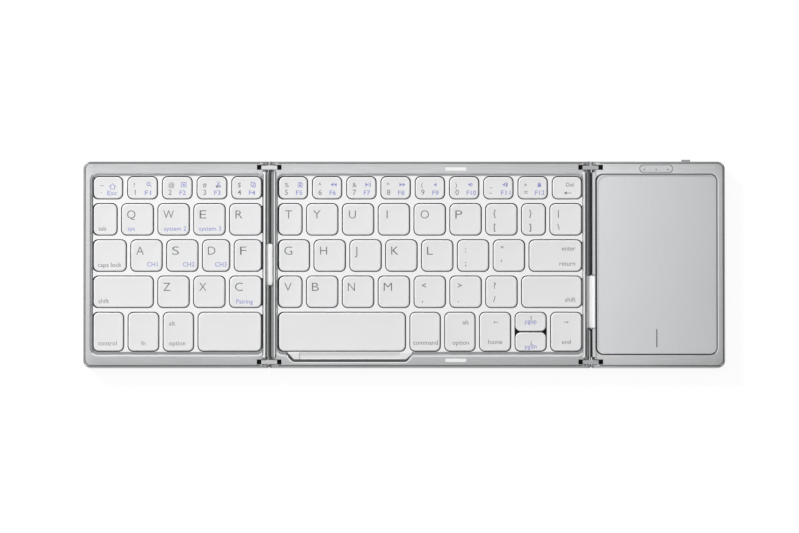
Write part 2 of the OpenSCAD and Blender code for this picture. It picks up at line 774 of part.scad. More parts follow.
// One keycap: k is [left, front, width, depth]. Its upper edges are rounded and it is open below, with a
// stem in the middle.
module keycap(k) {
    difference() {
        intersection() {
            translate([0, 0, z_cap]) linear_extrude(cap_h)
                rounded(k[0], k[1], k[0] + k[2], k[1] + k[3], key_r);
            along_y(k[1] - cut, k[1] + k[3] + cut)
                rounded(k[0], z_cap - 2 * cut, k[0] + k[2], z_key, key_edge_r);
            translate([k[0] - cut, 0, 0]) rotate([90, 0, 90]) linear_extrude(k[2] + 2 * cut)
                rounded(k[1], z_cap - 2 * cut, k[1] + k[3], z_key, key_edge_r);
        }
        difference() {
            translate([0, 0, z_cap - cut]) linear_extrude(cap_h - cap_t + cut)
                rounded(k[0] + cap_wall, k[1] + cap_wall, k[0] + k[2] - cap_wall, k[1] + k[3] - cap_wall,
                    key_r - cap_wall);
            translate([k[0] + k[2] / 2, k[1] + k[3] / 2, z_ceiling - stem_h])
                cylinder(r = stem_r, h = stem_h + cut, $fn = pin_fn);
        }
    }
    translate([k[0] + k[2] / 2, k[1] + k[3] / 2, z_ceiling - stem_h])
        cylinder(r = stem_r, h = stem_h + cap_t / 2, $fn = pin_fn);
}

module keycaps(keys) {
    color(key_white) for (k = keys) keycap(k);
}

// Rubber dome under each key: a hollow cone that the stem presses
module domes(keys) {
    h = z_ceiling - stem_h - z_switch;
    profile = [
        [dome_r - dome_wall, 0], [dome_r, 0], [dome_top_r, h],
        [0, h], [0, h - dome_wall], [dome_top_r - dome_wall, h - dome_wall]
    ];
    color(dome_white) for (k = keys) translate([k[0] + k[2] / 2, k[1] + k[3] / 2, z_switch])
        rotate_extrude($fn = pin_fn) polygon(profile);
}

// Centres of the scissors of a key: one under a short key; a long one has one at each end, where the dome
// in the middle leaves room for them, and the longest have one more in the middle
function scissor_places(k) =
    let (
        end = scissor_w / 2 + scissor_inset,
        pair = k[2] / 2 - end > scissor_w / 2 + dome_r + scissor_play,
        n = pair ? (k[2] > 8 * end ? 3 : 2) : 1
    )
    [for (i = [0 : n - 1])
        [k[0] + (n == 1 ? k[2] / 2 : end + i * (k[2] - 2 * end) / (n - 1)), k[1] + k[3] / 2]];

// Crossed pair of frames that holds a key level
module scissors(keys) {
    rise = z_ceiling - z_switch - 2 * scissor_rise;
    tilt = asin(rise / (scissor_l - scissor_bar));
    inner_w = scissor_w - 2 * (scissor_bar + scissor_play);
    color(scissor_white) for (k = keys, p = scissor_places(k))
        translate([p[0], p[1], (z_ceiling + z_switch) / 2]) {
            rotate([tilt, 0, 0]) scissor_frame(scissor_w);
            rotate([-tilt, 0, 0]) scissor_frame(inner_w);
        }
}

module scissor_frame(w) {
    difference() {
        cube([w, scissor_l, scissor_t], center = true);
        cube([w - 2 * scissor_bar, scissor_l - 2 * scissor_bar, scissor_t + cut], center = true);
    }
}

// Left wing
module left_bottom_cover() {
    bottom_cover([x_left + wall, gap_left - pin_x - block_x], [x_left + wall + deep_in, trough_left[2]]) {
        wing_form(-1);
        screw_holes(screws_left, [-1, 1]);
    }
}

module left_top_frame() {
    color(aluminium) {
        difference() {
            intersection() {
                wing_form(-1);
                block([x_left - cut, y_front - cut, z_frame], [gap_left, y_rear + cut, z_top + cut]);
            }
            cavity(x_left + wall, gap_left - pin_x - block_x, z_seam - cut, z_plate);
            translate([0, 0, z_plate - cut]) linear_extrude(plate_t + 2 * cut)
                trough_shape(trough_left, 0, false);
            sloped_edge(trough_left, trough_r);
            edge_groove();
            hinge_cut(gap_left, 1);
            pin_bores(gap_left - pin_x);
        }
        bosses(screws_left, [-1, 1]);
    }
}

module left_hinge_rail() {
    hinge_rail(gap_left, 1, trough_left[2], sleeve_left_y, sleeve_left);
}

module left_key_deck() {
    flange = [trough_left[0] - flange_w, gap_left - pin_x - block_x - deck_clear];
    key_deck(trough_left, all_left, flange, false);
}

module left_magnets() {
    color(steel) front_and_rear(magnet_y) translate([x_left + magnet_in, 0, z_plate - magnet_t])
        cylinder(r = magnet_r, h = magnet_t, $fn = pin_fn);
}

// Centre panel
module centre_bottom_cover() {
    hollow = [gap_left + pin_x + block_x, gap_right - pin_x - block_x];
    bottom_cover(hollow, [trough_centre[0], trough_centre[2]]) {
        centre_form();
        union() {
            screw_holes(screws_centre_rear, [1]);
            screw_holes(screws_centre_front, [-1]);
        }
    }
}

module centre_top_frame() {
    color(aluminium) {
        difference() {
            intersection() {
                centre_form();
                block([gap_left, y_front - cut, z_frame], [gap_right, y_rear + cut, z_top + cut]);
            }
            cavity(gap_left + pin_x + block_x, gap_right - pin_x - block_x, z_seam - cut, z_plate);
            translate([0, 0, z_plate - cut]) linear_extrude(plate_t + 2 * cut)
                trough_shape(trough_centre, 0, true);
            sloped_edge(trough_centre, trough_r);
            edge_groove();
            hinge_cut(gap_left, -1);
            hinge_cut(gap_right, 1);
            pin_bores(gap_left + pin_x);
            pin_bores(gap_right - pin_x);
            front_and_rear(bar_y) bar_shape(z_plate - cut, z_top + cut, bar_clear, bar_clear);
        }
        bosses(screws_centre_rear, [1]);
        bosses(screws_centre_front, [-1]);
    }
}

module centre_hinge_rails() {
    hinge_rail(gap_left, -1, trough_centre[0], sleeve_left_y, sleeve_left);
    hinge_rail(gap_right, 1, trough_centre[2], sleeve_right_y, sleeve_right);
}

module centre_key_deck() {
    holes = concat(flat(span(centre_keys, 0, 3)), centre_keys[4]);
    key_deck(trough_centre, holes, [
        gap_left + pin_x + block_x + deck_clear, gap_right - pin_x - block_x - deck_clear
    ], true);
}

// Bars that the magnets of the folded wings hold on to: flush in the frame, with a flange below it
module catch_bars() {
    color(bright_metal) front_and_rear(bar_y) {
        bar_shape(z_plate - bar_flange_t, z_plate, bar_flange_end, bar_flange);
        bar_shape(z_plate - bar_flange_t / 2, z_top, 0, 0);
    }
}

// Outline of a catch bar between two heights, widened at its ends and at its sides
module bar_shape(z0, z1, end, side) {
    half = [bar_w / 2 + end, bar_d / 2 + side];
    translate([bar_x, 0, z0]) linear_extrude(z1 - z0)
        rounded(-half[0], -half[1], half[0], half[1], bar_corner);
}

// Right wing
module right_bottom_cover() {
    bottom_cover([gap_right + pin_x + block_x, x_right - wall], [trough_pad[0], x_right - wall - deep_in]) {
        wing_form(1);
        screw_holes(screws_right, [-1, 1]);
    }
    color(aluminium) {
        for (x = [board_x0 + post_in, board_x1 - post_in], y = [board_y0 + post_in, board_y1 - 3 * post_in])
            floor_post(x, y_mid + y, post_r, z_board);
        floor_post(pad_mid, click_y, click_post_r, z_pad_board - click_h - click_gap);
    }
}

// Post that stands up from the floor of the right wing to the height z
module floor_post(x, y, r, z) {
    z_root = z_floor - floor_t / 2;
    translate([x, y, z_root]) cylinder(r = r, h = z - z_root, $fn = pin_fn);
}

module right_top_frame() {
    socket_z = z_board + board_t + socket_h / 2;
    mouth = [socket_w / 2 + socket_slack, socket_h / 2 + socket_slack];
    color(aluminium) {
        difference() {
            intersection() {
                wing_form(1);
                block([gap_right, y_front - cut, z_frame], [x_right + cut, y_rear + cut, z_top + cut]);
            }
            cavity(gap_right + pin_x + block_x, x_right - wall, z_seam - cut, z_plate);
            translate([0, 0, z_plate - cut]) linear_extrude(plate_t + 2 * cut)
                rounded(trough_pad[0], trough_pad[1], trough_pad[2], trough_pad[3], pad_r);
            sloped_edge(trough_pad, pad_r);
            edge_groove();
            hinge_cut(gap_right, -1);
            pin_bores(gap_right + pin_x);
            translate([0, y_mid + window_y, z_plate - cut]) linear_extrude(plate_t + 2 * cut)
                rounded(window_x - window_w / 2, -window_d / 2, window_x + window_w / 2, window_d / 2,
                    window_d / 2 - hair);
            knob_slot();
            along_y(y_rear - wall - cut, y_rear + cut)
                rounded(socket_x - mouth[0], socket_z - mouth[1], socket_x + mouth[0], socket_z + mouth[1],
                    socket_r + socket_slack);
        }
        bosses(screws_right, [-1, 1]);
    }
}

// Slot in the rear wall that the switch knob slides in
module knob_slot() {
    slack = 0.2;
    slot_r = 0.5;
    along_y(y_rear - wall - cut, y_rear + cut)
        rounded(knob_x - slack, z_pin - knob_h / 2 - slack, knob_x + knob_w + knob_travel + slack,
            z_pin + knob_h / 2 + slack, slot_r);
}

module right_hinge_rail() {
    hinge_rail(gap_right, -1, trough_pad[0], sleeve_right_y, sleeve_right);
}

module right_magnets() {
    color(steel) front_and_rear(magnet_y) translate([x_right - magnet_in, 0, z_plate - magnet_t])
        cylinder(r = magnet_r, h = magnet_t, $fn = pin_fn);
}

// Touchpad: a plate in the opening of the right frame, with two tongues under the rear bezel that it tips
// on, and an engraved line at its front edge between the zones for the left and the right click
module touchpad_plate() {
    t = trough_pad;
    line = [pad_mid - pad_line_w / 2, t[1] + pad_line_in, z_pad - pad_line_t];
    color(pad_grey) {
        difference() {
            translate([0, 0, z_pad_under]) linear_extrude(pad_t) rounded(
                t[0] + pad_clear, t[1] + pad_clear, t[2] - pad_clear, t[3] - pad_clear, pad_r - pad_clear
            );
            block(line, line + [pad_line_w, pad_line_l, pad_t]);
        }
        for (s = [-1, 1]) translate([pad_mid + s * (t[2] - t[0]) / 3, 0, 0])
            block([-pad_tongue_w / 2, t[3] - pad_tongue_root, z_pad_under],
                [pad_tongue_w / 2, t[3] + pad_tongue_l, z_pad_under + pad_tongue_t]);
    }
}

// Circuit board under the touchpad plate, with its controller and the click switch
module touchpad_board() {
    t = trough_pad;
    color(board_green) {
        block([t[0] + pad_board_in, t[1] + pad_board_in, z_pad_board],
            [t[2] - pad_board_in, t[3] - pad_board_in, z_pad_under]);
        translate([pad_mid, y_mid, z_pad_board])
            cube([pad_chip_w, pad_chip_w, 2 * pad_chip_h], center = true);
        translate([pad_mid, click_y, z_pad_board - click_h])
            cylinder(r = click_r, h = click_h + cut, $fn = pin_fn);
    }
}

// Main board with its processor, radio module, lights and the housing of the slide switch
module main_board() {
    zb = z_board + board_t;
    color(board_green) {
        block([board_x0, y_mid + board_y0, z_board], [board_x1, y_mid + board_y1, zb]);
        for (c = [processor, radio_module]) translate([pad_mid + c[0], y_mid + board_y0 + c[1], zb - cut])
            cube([c[2], c[2], c[3] + cut]);
        translate([knob_x - switch_housing_side, y_mid + board_y1 - board_edge - switch_housing_d, zb - cut])
            cube([
                knob_w + knob_travel + 2 * switch_housing_side,
                switch_housing_d,
                z_pin + knob_h / 2 + switch_housing_top - zb + cut
            ]);
    }
}

module battery() {
    color(foil_grey) translate([0, 0, z_floor]) linear_extrude(battery_h)
        rounded(board_x0, y_mid + battery_y0, board_x1, y_mid + battery_y1, battery_r);
}

// Charging socket on the main board: a metal shell with a tongue in its mouth
module charging_socket() {
    z0 = z_board + board_t;
    z_tongue = z0 + (socket_h - tongue_t) / 2;
    half = socket_w / 2;
    inner = half - socket_shell;
    y1 = y_rear - socket_shell;
    y0 = y1 - socket_l;
    color(bright_metal) {
        difference() {
            along_y(y0, y1) rounded(socket_x - half, z0, socket_x + half, z0 + socket_h, socket_r);
            along_y(y0 + socket_shell, y1 + cut) rounded(socket_x - inner, z0 + socket_shell,
                socket_x + inner, z0 + socket_h - socket_shell, socket_r - socket_shell);
        }
        block([socket_x - tongue_w / 2, y0, z_tongue],
            [socket_x + tongue_w / 2, y1 - tongue_t, z_tongue + tongue_t]);
    }
}

// Window with three small holes for the lights
module indicator_window() {
    light_pitch = 5.6;
    light_r = 0.35;
    light_y = -0.4;
    slack = 0.05;
    h = window_d / 2 - slack;
    color(pad_grey) difference() {
        translate([0, y_mid + window_y, z_plate]) linear_extrude(plate_t - slack)
            rounded(window_x - window_w / 2 + slack, -h, window_x + window_w / 2 - slack, h, h - hair);
        for (i = [-1 : 1]) translate([window_x + i * light_pitch, y_mid + window_y + light_y, z_plate - cut])
            cylinder(r = light_r, h = plate_t + 2 * cut, $fn = pin_fn);
    }
}

// Knob of the slide switch, with grip grooves
module switch_knob() {
    y0 = y_mid + board_y1 + 0.1;
    groove = 0.35;
    color(knob_grey) difference() {
        block([knob_x, y0, z_pin - knob_h / 2], [knob_x + knob_w, y_rear + knob_out, z_pin + knob_h / 2]);
        for (i = [-1 : 1]) translate([knob_x + knob_w / 2 + i * knob_w / 4, y_rear + knob_out, z_pin])
            cube([groove, 2 * groove, knob_h + cut], center = true);
    }
}

centre_bottom_cover();
centre_top_frame();
centre_hinge_rails();
centre_key_deck();
base_plate(trough_centre);  // centre_base_plate
membrane(trough_centre);  // centre_membrane
domes(all_centre);  // centre_domes
scissors(all_centre);  // centre_scissors
feet(feet_centre);  // centre_feet
union() {  // centre_screws
    screws(screws_centre_rear, [1]);
    screws(screws_centre_front, [-1]);
}
catch_bars();
left_bottom_cover();
left_top_frame();
left_hinge_rail();
left_key_deck();
base_plate(trough_left);  // left_base_plate
membrane(trough_left);  // left_membrane
domes(all_left);  // left_domes
scissors(all_left);  // left_scissors
feet(feet_left);  // left_feet
screws(screws_left, [-1, 1]);  // left_screws
left_magnets();
right_bottom_cover();
right_top_frame();
right_hinge_rail();
main_board();
battery();
charging_socket();
indicator_window();
feet(feet_right);  // right_feet
screws(screws_right, [-1, 1]);  // right_screws
right_magnets();
touchpad_plate();
touchpad_board();
switch_knob();
links(gap_left);  // left_links
hinge_pins(gap_left);  // left_hinge_pins
ribbon(gap_left, sleeve_left_y, sleeve_left);  // left_ribbon
links(gap_right);  // right_links
hinge_pins(gap_right);  // right_hinge_pins
ribbon(gap_right, sleeve_right_y, sleeve_right);  // right_ribbon
keycaps(span(left_keys[0], 0, 0));  // key_escape
keycaps(span(left_keys[0], 1, 4));  // key_left_numbers
keycaps(span(left_keys[1], 0, 0));  // key_tab
keycaps(span(left_keys[1], 1, 4));  // key_left_top_row
keycaps(span(left_keys[2], 0, 0));  // key_caps_lock
keycaps(span(left_keys[2], 1, 4));  // key_left_home_row
keycaps(span(left_keys[3], 0, 0));  // key_left_shift
keycaps(span(left_keys[3], 1, 3));  // key_left_bottom_row
keycaps(span(left_keys[4], 0, 2));  // key_left_modifiers
keycaps(span(left_keys[4], 3, 3));  // key_left_space
keycaps(centre_keys[0]);  // key_centre_numbers
keycaps(centre_keys[1]);  // key_centre_top_row
keycaps(span(centre_keys[2], 0, 6));  // key_centre_home_row
keycaps(span(centre_keys[2], 7, 7));  // key_enter
keycaps(span(centre_keys[3], 0, 6));  // key_centre_bottom_row
keycaps(span(centre_keys[3], 7, 7));  // key_right_shift
keycaps(span(centre_keys[4], 0, 0));  // key_centre_space
keycaps(span(centre_keys[4], 1, 2));  // key_centre_modifiers
keycaps(arrow_keys);  // key_arrows
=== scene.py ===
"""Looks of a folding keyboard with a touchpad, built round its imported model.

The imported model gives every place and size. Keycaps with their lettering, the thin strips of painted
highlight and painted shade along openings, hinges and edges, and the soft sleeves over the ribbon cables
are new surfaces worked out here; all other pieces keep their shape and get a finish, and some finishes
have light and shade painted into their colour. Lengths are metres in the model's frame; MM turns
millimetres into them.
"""

from __future__ import annotations

import logging
import math
from dataclasses import dataclass, field, replace
from enum import Enum
from functools import partial

import bpy
import numpy as np
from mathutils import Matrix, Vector

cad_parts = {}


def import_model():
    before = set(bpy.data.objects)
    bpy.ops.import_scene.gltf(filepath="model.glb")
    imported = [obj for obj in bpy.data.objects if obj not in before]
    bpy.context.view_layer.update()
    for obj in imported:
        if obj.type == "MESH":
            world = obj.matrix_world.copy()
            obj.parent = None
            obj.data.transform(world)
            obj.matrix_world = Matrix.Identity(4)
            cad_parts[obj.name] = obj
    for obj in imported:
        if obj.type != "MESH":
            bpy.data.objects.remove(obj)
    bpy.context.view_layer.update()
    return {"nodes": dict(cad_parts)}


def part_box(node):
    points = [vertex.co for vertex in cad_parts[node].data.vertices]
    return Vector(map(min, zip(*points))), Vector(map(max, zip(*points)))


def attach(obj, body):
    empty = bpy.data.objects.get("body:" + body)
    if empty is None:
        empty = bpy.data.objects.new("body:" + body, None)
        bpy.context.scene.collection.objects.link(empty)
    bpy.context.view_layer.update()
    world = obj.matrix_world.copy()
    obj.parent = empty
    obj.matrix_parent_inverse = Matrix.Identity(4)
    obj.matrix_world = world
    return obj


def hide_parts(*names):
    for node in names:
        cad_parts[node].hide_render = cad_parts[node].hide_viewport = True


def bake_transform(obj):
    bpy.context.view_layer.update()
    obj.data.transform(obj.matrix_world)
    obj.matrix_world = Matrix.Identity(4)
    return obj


LOG = logging.getLogger("keyboard")
MM = 0.001
Tree = bpy.types.NodeTree
Socket = bpy.types.NodeSocket
Pairs = tuple[tuple[float, float], ...]
Line = list[tuple[float, float]]

# Faces that meet at more than this many degrees keep a sharp edge: on thin strips, and on prints
STRIP_CREASE = 20.0
PRINT_CREASE = 60.0
# How strongly a grain's relief is lifted, and the noise values that its shades are spread over
BUMP_STRENGTH = 0.5
NOISE_ENDS = (0.25, 0.75)
# Layers of a fine and of a broad noise
FINE_DETAIL = 3.0
BROAD_DETAIL = 1.0
# Points of an icon's arc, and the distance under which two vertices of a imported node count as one
ARC_POINTS = 13
SAME_PLACE = 1e-3 * MM


def linear(code: str) -> tuple[float, float, float, float]:
    """Turns an sRGB colour into the linear values that shaders take.

    Args:
        code: the colour as six hex digits, such as "E8E9EA".

    Returns:
        Red, green, blue and an alpha of 1.
    """
    values = [int(code[i : i + 2], 16) / 255 for i in (0, 2, 4)]
    red, green, blue = (v / 12.92 if v <= 0.04045 else ((v + 0.055) / 1.055) ** 2.4 for v in values)
    return red, green, blue, 1.0


def add_node(tree: Tree, kind: str, settings: dict | None = None, **inputs: object) -> bpy.types.Node:
    """Adds one shader node.

    Args:
        tree: the material's or world's node tree.
        kind: Blender's name of the node type.
        settings: attributes of the node itself.
        inputs: socket name, with _ for a space, to a value or to the output socket that feeds it.

    Returns:
        The new node.
    """
    node = tree.nodes.new(kind)
    for name, value in (settings or {}).items():
        setattr(node, name, value)
    for name, value in inputs.items():
        socket = node.inputs[int(name[1:])] if name[1:].isdigit() else node.inputs[name.replace("_", " ")]
        if isinstance(value, Socket):
            tree.links.new(value, socket)
        else:
            socket.default_value = value
    return node


def math_node(tree: Tree, operation: str, *values: object) -> Socket:
    """Adds a math node and gives its result."""
    sockets = {f"_{n}": value for n, value in enumerate(values)}
    return add_node(tree, "ShaderNodeMath", {"operation": operation}, **sockets).outputs[0]


def ramp(tree: Tree, value: Socket, ends: tuple[float, float], tones: tuple = (0.0, 1.0)) -> Socket:
    """Adds a node that turns a value between two ends into one between two tones."""
    inputs = dict(zip(("_1", "_2", "_3", "_4"), (*ends, *tones)))
    return add_node(tree, "ShaderNodeMapRange", _0=value, **inputs).outputs[0]


def scaled(tree: Tree, code: str, factor: Socket) -> Socket:
    """Adds an sRGB colour times a factor."""
    settings = {"operation": "SCALE"}
    return add_node(tree, "ShaderNodeVectorMath", settings, _0=linear(code)[:3], Scale=factor).outputs[0]


def axes(tree: Tree, place: Socket) -> bpy.types.bpy_prop_collection:
    """Adds a node that splits a place, and gives its outputs X, Y and Z."""
    return add_node(tree, "ShaderNodeSeparateXYZ", Vector=place).outputs


def cleared(owner: bpy.types.Material | bpy.types.World) -> Tree:
    """Gives a material or a world an empty node tree."""
    owner.use_nodes = True
    owner.node_tree.nodes.clear()
    return owner.node_tree


def put(name: str, data: bpy.types.ID) -> bpy.types.Object:
    """Puts a new object with this data into the scene."""
    thing = bpy.data.objects.new(name, data)
    bpy.context.scene.collection.objects.link(thing)
    return thing


class Grain(Enum):
    """Direction of the fine lines that a finish shows."""

    ALONG_X = (0.03, 1.0, 1.0)
    ALONG_Y = (1.0, 0.03, 1.0)
    EVEN = (1.0, 1.0, 1.0)


@dataclass(frozen=True)
class Finish:
    """A surface finish: what the thing is made of, and how its surface was made.

    A fine noise of the real grain size shades the colour and lifts the surface, and a broad one gives the
    faint clouds that a large plain face has. Where dark_below_mm is set, shade is painted into the colour
    low down, where narrow gaps lie in shade.
    """

    name: str
    colour: str
    roughness: float
    metallic: float = 0.0
    grain: Grain = Grain.EVEN
    grain_mm: float = 0.25
    shade: float = 0.02
    relief_mm: float = 0.004
    cloud: float = 0.01
    cloud_mm: float = 25.0
    # Painted shade: below dark_below_mm the colour runs over dark_run_mm into dark, for narrow gaps in shade;
    # in front of dark_behind_mm it goes only front_loss of the way to dark instead, for a shallow recess
    dark_below_mm: float = 0.0
    dark_behind_mm: float = -60.0
    front_loss: float = 0.12
    dark: str = "1E1F20"
    dark_run_mm: float = 0.1

    def build(self) -> bpy.types.Material:
        """Makes the material, or returns the one that was made before under this name."""
        known = bpy.data.materials.get(self.name)
        if known:
            return known
        material = bpy.data.materials.new(self.name)
        tree = cleared(material)
        place = add_node(tree, "ShaderNodeTexCoord").outputs["Object"]
        fine = self.noise(tree, place, self.grain_mm, self.grain.value, FINE_DETAIL)
        broad = self.noise(tree, place, self.cloud_mm, Grain.EVEN.value, BROAD_DETAIL)
        shades = self.span(tree, fine, self.shade), self.span(tree, broad, self.cloud)
        both = math_node(tree, "MULTIPLY", *shades)
        colour = scaled(tree, self.colour, self.shading(tree, place, both))
        if self.dark_below_mm:
            colour = self.darkened(tree, place, colour)
        relief = self.relief_mm * MM
        bump = add_node(tree, "ShaderNodeBump", Height=fine, Strength=BUMP_STRENGTH, Distance=relief)
        shader = add_node(
            tree,
            "ShaderNodeBsdfPrincipled",
            Base_Color=colour,
            Metallic=self.metallic,
            Roughness=self.roughness,
            Normal=bump.outputs[0],
        )
        add_node(tree, "ShaderNodeOutputMaterial", Surface=shader.outputs[0])
        return material

    def darkened(self, tree: Tree, place: Socket, colour: Socket) -> Socket:
        """Paints shade: dark below a height, and in front of a line only a share of the way to dark."""
        spot = axes(tree, place)
        edge = self.dark_below_mm * MM
        above = ramp(tree, spot["Z"], (edge - self.dark_run_mm * MM, edge))
        before = math_node(tree, "LESS_THAN", spot["Y"], self.dark_behind_mm * MM)
        loss = math_node(tree, "MULTIPLY", before, self.front_loss)
        light = math_node(tree, "SUBTRACT", math_node(tree, "MAXIMUM", above, before), loss)
        tones = {"_6": linear(self.dark), "_7": colour}
        return add_node(tree, "ShaderNodeMix", {"data_type": "RGBA"}, _0=light, **tones).outputs[2]

    def shading(self, tree: Tree, place: Socket, tone: Socket) -> Socket:
        """Hook for painted light and shade that changes over the object: here the tone stays as it is."""
        return tone

    @staticmethod
    def noise(tree: Tree, place: Socket, size_mm: float, stretch: tuple, detail: float) -> Socket:
        """Adds a noise whose marks are size_mm wide and drawn out by the inverse of stretch."""
        scale = tuple(s / (size_mm * MM) for s in stretch)
        mapped = add_node(tree, "ShaderNodeMapping", Vector=place, Scale=scale)
        noise = add_node(tree, "ShaderNodeTexNoise", Vector=mapped.outputs[0], Scale=1.0, Detail=detail)
        return noise.outputs["Fac"]

    @staticmethod
    def span(tree: Tree, value: Socket, amount: float) -> Socket:
        """Maps a noise to factors between 1 - amount and 1 + amount."""
        return ramp(tree, value, NOISE_ENDS, (1 - amount, 1 + amount))


@dataclass(frozen=True)
class PaintedLightFinish(Finish):
    """A finish with painted light and shade, whose tone drifts over a large face as the light falls on it.

    The painted tone goes evenly from the left end to the right end and from the rear to the front, and
    changes towards the outer edges of the open keyboard.
    """

    ends_mm: tuple[float, float] = (-152.25, 152.25)
    tones: tuple[float, float] = (1.0, 1.0)
    front_tone: float = 1.0
    edge_tones: tuple[float, float] = (1.0, 1.0)
    depth_mm: tuple[float, float] = (48.0, -48.0)
    inner_mm: tuple[float, float] = (147.0, 42.5)
    outer_mm: tuple[float, float] = (151.4, 48.2)

    def shading(self, tree: Tree, place: Socket, tone: Socket) -> Socket:
        """Multiplies the tone by all four changes of painted light and shade."""
        spot = axes(tree, place)
        changes = [(spot["X"], self.ends_mm, self.tones), (spot["Y"], self.depth_mm, (1.0, self.front_tone))]
        for axis, inner, outer, edge in zip("XY", self.inner_mm, self.outer_mm, self.edge_tones):
            changes.append((math_node(tree, "ABSOLUTE", spot[axis]), (inner, outer), (1.0, edge)))
        for value, (start, stop), tones in changes:
            tone = math_node(tree, "MULTIPLY", tone, ramp(tree, value, (start * MM, stop * MM), tones))
        return tone


# Sheet aluminium, brushed along the keyboard: long fine streaks and broad soft clouds. Painted light
# # raises its tone towards the front and at the outer ends; painted shade lowers it at the rear and front
# edges
FRAME_ALUMINIUM = PaintedLightFinish(
    "brushed_aluminium", "DEDFE0", 0.34, 1.0, Grain.ALONG_X, 0.32, 0.08, 0.003, 0.03, 40, front_tone=1.19,
    edge_tones=(1.15, 0.86)
)
# The centre and right frames: painted light at their left ends, painted shade at their right ends
FRAME_CENTRE = replace(
    FRAME_ALUMINIUM, name="brushed_aluminium_centre", ends_mm=(-62.0, 86.0), tones=(1.05, 0.9)
)
FRAME_RIGHT = replace(
    FRAME_ALUMINIUM, name="brushed_aluminium_right", ends_mm=(90.0, 152.0), tones=(1.2, 0.95), front_tone=1.2,
    edge_tones=(0.87, 0.86)
)
# The same sheet on the underside, bead-blasted: no direction, a little darker
COVER_ALUMINIUM = Finish("blasted_aluminium", "C4C5C7", 0.45, 1.0, Grain.EVEN, 0.18, 0.03, 0.006, 0.02, 30)
# Painted highlight: near white flat strips for the lit bevels along openings, hinges and the pad, with a
# # fine grain
RIM_HIGHLIGHT = Finish("painted_rim_highlight", "FCFCFC", 0.35, 0.15, Grain.EVEN, 0.4, 0.01, 0.0005, 0.01, 20)
# Dark strips. The first is painted shade and dark reflection inside the frames' rounded outer edges, and
# # painted shade along the thumb scoop; the second is painted shade beside the hinges and in the gap round
# # the pad, which it widens, and the dark joint round the window
SHADE_LINE = Finish("painted_shade_line", "505254", 0.5, 0.3, Grain.EVEN, 0.3, 0.02, 0.001, 0.01, 20)
JOINT_AND_SHADE = Finish("shaded_groove", "6C6E70", 0.6, 0.0, Grain.EVEN, 0.4, 0.02, 0.0005, 0.01, 20)
# Extruded and anodised bars of the hinges, dark and satin
RAIL_METAL = Finish("anodised_rail", "B8BCBC", 0.3, 1.0, Grain.ALONG_Y, 0.3, 0.05, 0.002, 0.02, 20)
# The sloped wall between a frame's face and the web of the keys, and lines along it: lit and shaded
# # copies, one for each side, with its light and shade painted into the colour
SLOPE = Finish("shaded_slope", "9C9EA0", 0.5, 0.3, Grain.EVEN, 0.3, 0.02, 0.001, 0.01, 20)
SLOPE_LIT = Finish("slope_painted_light", "CDCFD1", 0.5, 0.3, Grain.EVEN, 0.3, 0.02, 0.001, 0.01, 20)
SLOPE_DARK = Finish("dark_slope", "7E8082", 0.5, 0.0, Grain.EVEN, 0.3, 0.02, 0.001, 0.01, 20)
# Painted shade, near black: deep gaps beside keys and along rail tips, link ends in their slots, and the
# # pad's groove and mark
BLACK_SHADE = Finish("painted_black_shade", "2C2E30", 0.6, 0.0, Grain.EVEN, 0.4, 0.02, 0.0005, 0.01, 20)
DEEP_SHADE = Finish("painted_deep_shade", "242628", 0.7, 0.0, Grain.EVEN, 0.3, 0.02, 0.001, 0.01, 20)
# Satin strip along the tip of a rail, on which the folded wing rubs
NOSE_METAL = Finish("satin_nose", "B4B7B8", 0.45, 0.3, Grain.ALONG_Y, 0.3, 0.04, 0.001, 0.02, 20)
# Polished steel of the links, painted lighter towards the front; the right hinge's links get a darker,
# # rougher copy, whose darker colour is painted shade
LINK_STEEL = PaintedLightFinish(
    "polished_steel", "D8D8DA", 0.25, 1.0, Grain.ALONG_X, 0.2, 0.05, 0.001, 0.01, 8, front_tone=1.5
)
SHADED_LINK_STEEL = replace(LINK_STEEL, name="dull_steel", colour="B6B7B9", roughness=0.3)
# Ground steel pins and screws
PIN_STEEL = Finish("ground_steel", "A9ABAE", 0.3, 1.0, Grain.EVEN, 0.1, 0.04, 0.001, 0.01, 5)
# Keycaps moulded in ABS with a fine spark-eroded grain; shade is painted on their sides low down, in the gaps
KEY_PLASTIC = Finish(
    "moulded_key_plastic", "EBEBEC", 0.5, 0.0, Grain.EVEN, 0.22, 0.008, 0.004, 0.006, 12, dark_below_mm=6.95
)
# The web between the keys: smooth and white, with shade painted on it low down, where the narrow gaps lie
# # in shade, and a little in the thumb scoop's recess
DECK_PLASTIC = Finish(
    "two_shot_deck_plastic", "F6F6F7", 0.42, 0.0, Grain.EVEN, 0.35, 0.006, 0.003, 0.006, 15,
    dark_below_mm=6.9, dark_behind_mm=-42.6
)
# White lacquer over the steel of the catch bars
BAR_LACQUER = Finish("white_lacquered_steel", "F7F7F7", 0.4, 0.0, Grain.ALONG_X, 0.3, 0.01, 0.001)
# Touchpad: polycarbonate painted with fine metal flakes, with faint brushed lines; painted light makes its
# # tone fall from left to right and rise a little towards the front
PAD_SURFACE = PaintedLightFinish(
    "metallic_pad_paint", "E2E3E5", 0.42, 0.45, Grain.ALONG_Y, 0.28, 0.02, 0.001, 0.012, 30, front_tone=1.05,
    ends_mm=(92.0, 148.0), tones=(1.1, 0.9)
)
# Screen ink of the letters and of the second functions
LETTER_INK = Finish("grey_ink", "727375", 0.6, 0.0, Grain.EVEN, 0.15, 0.04, 0.0005)
SIGN_INK = Finish("pale_grey_ink", "8C8D90", 0.6, 0.0, Grain.EVEN, 0.15, 0.04, 0.0005)
FUNCTION_INK = Finish("blue_ink", "9499D0", 0.6, 0.0, Grain.EVEN, 0.15, 0.04, 0.0005)
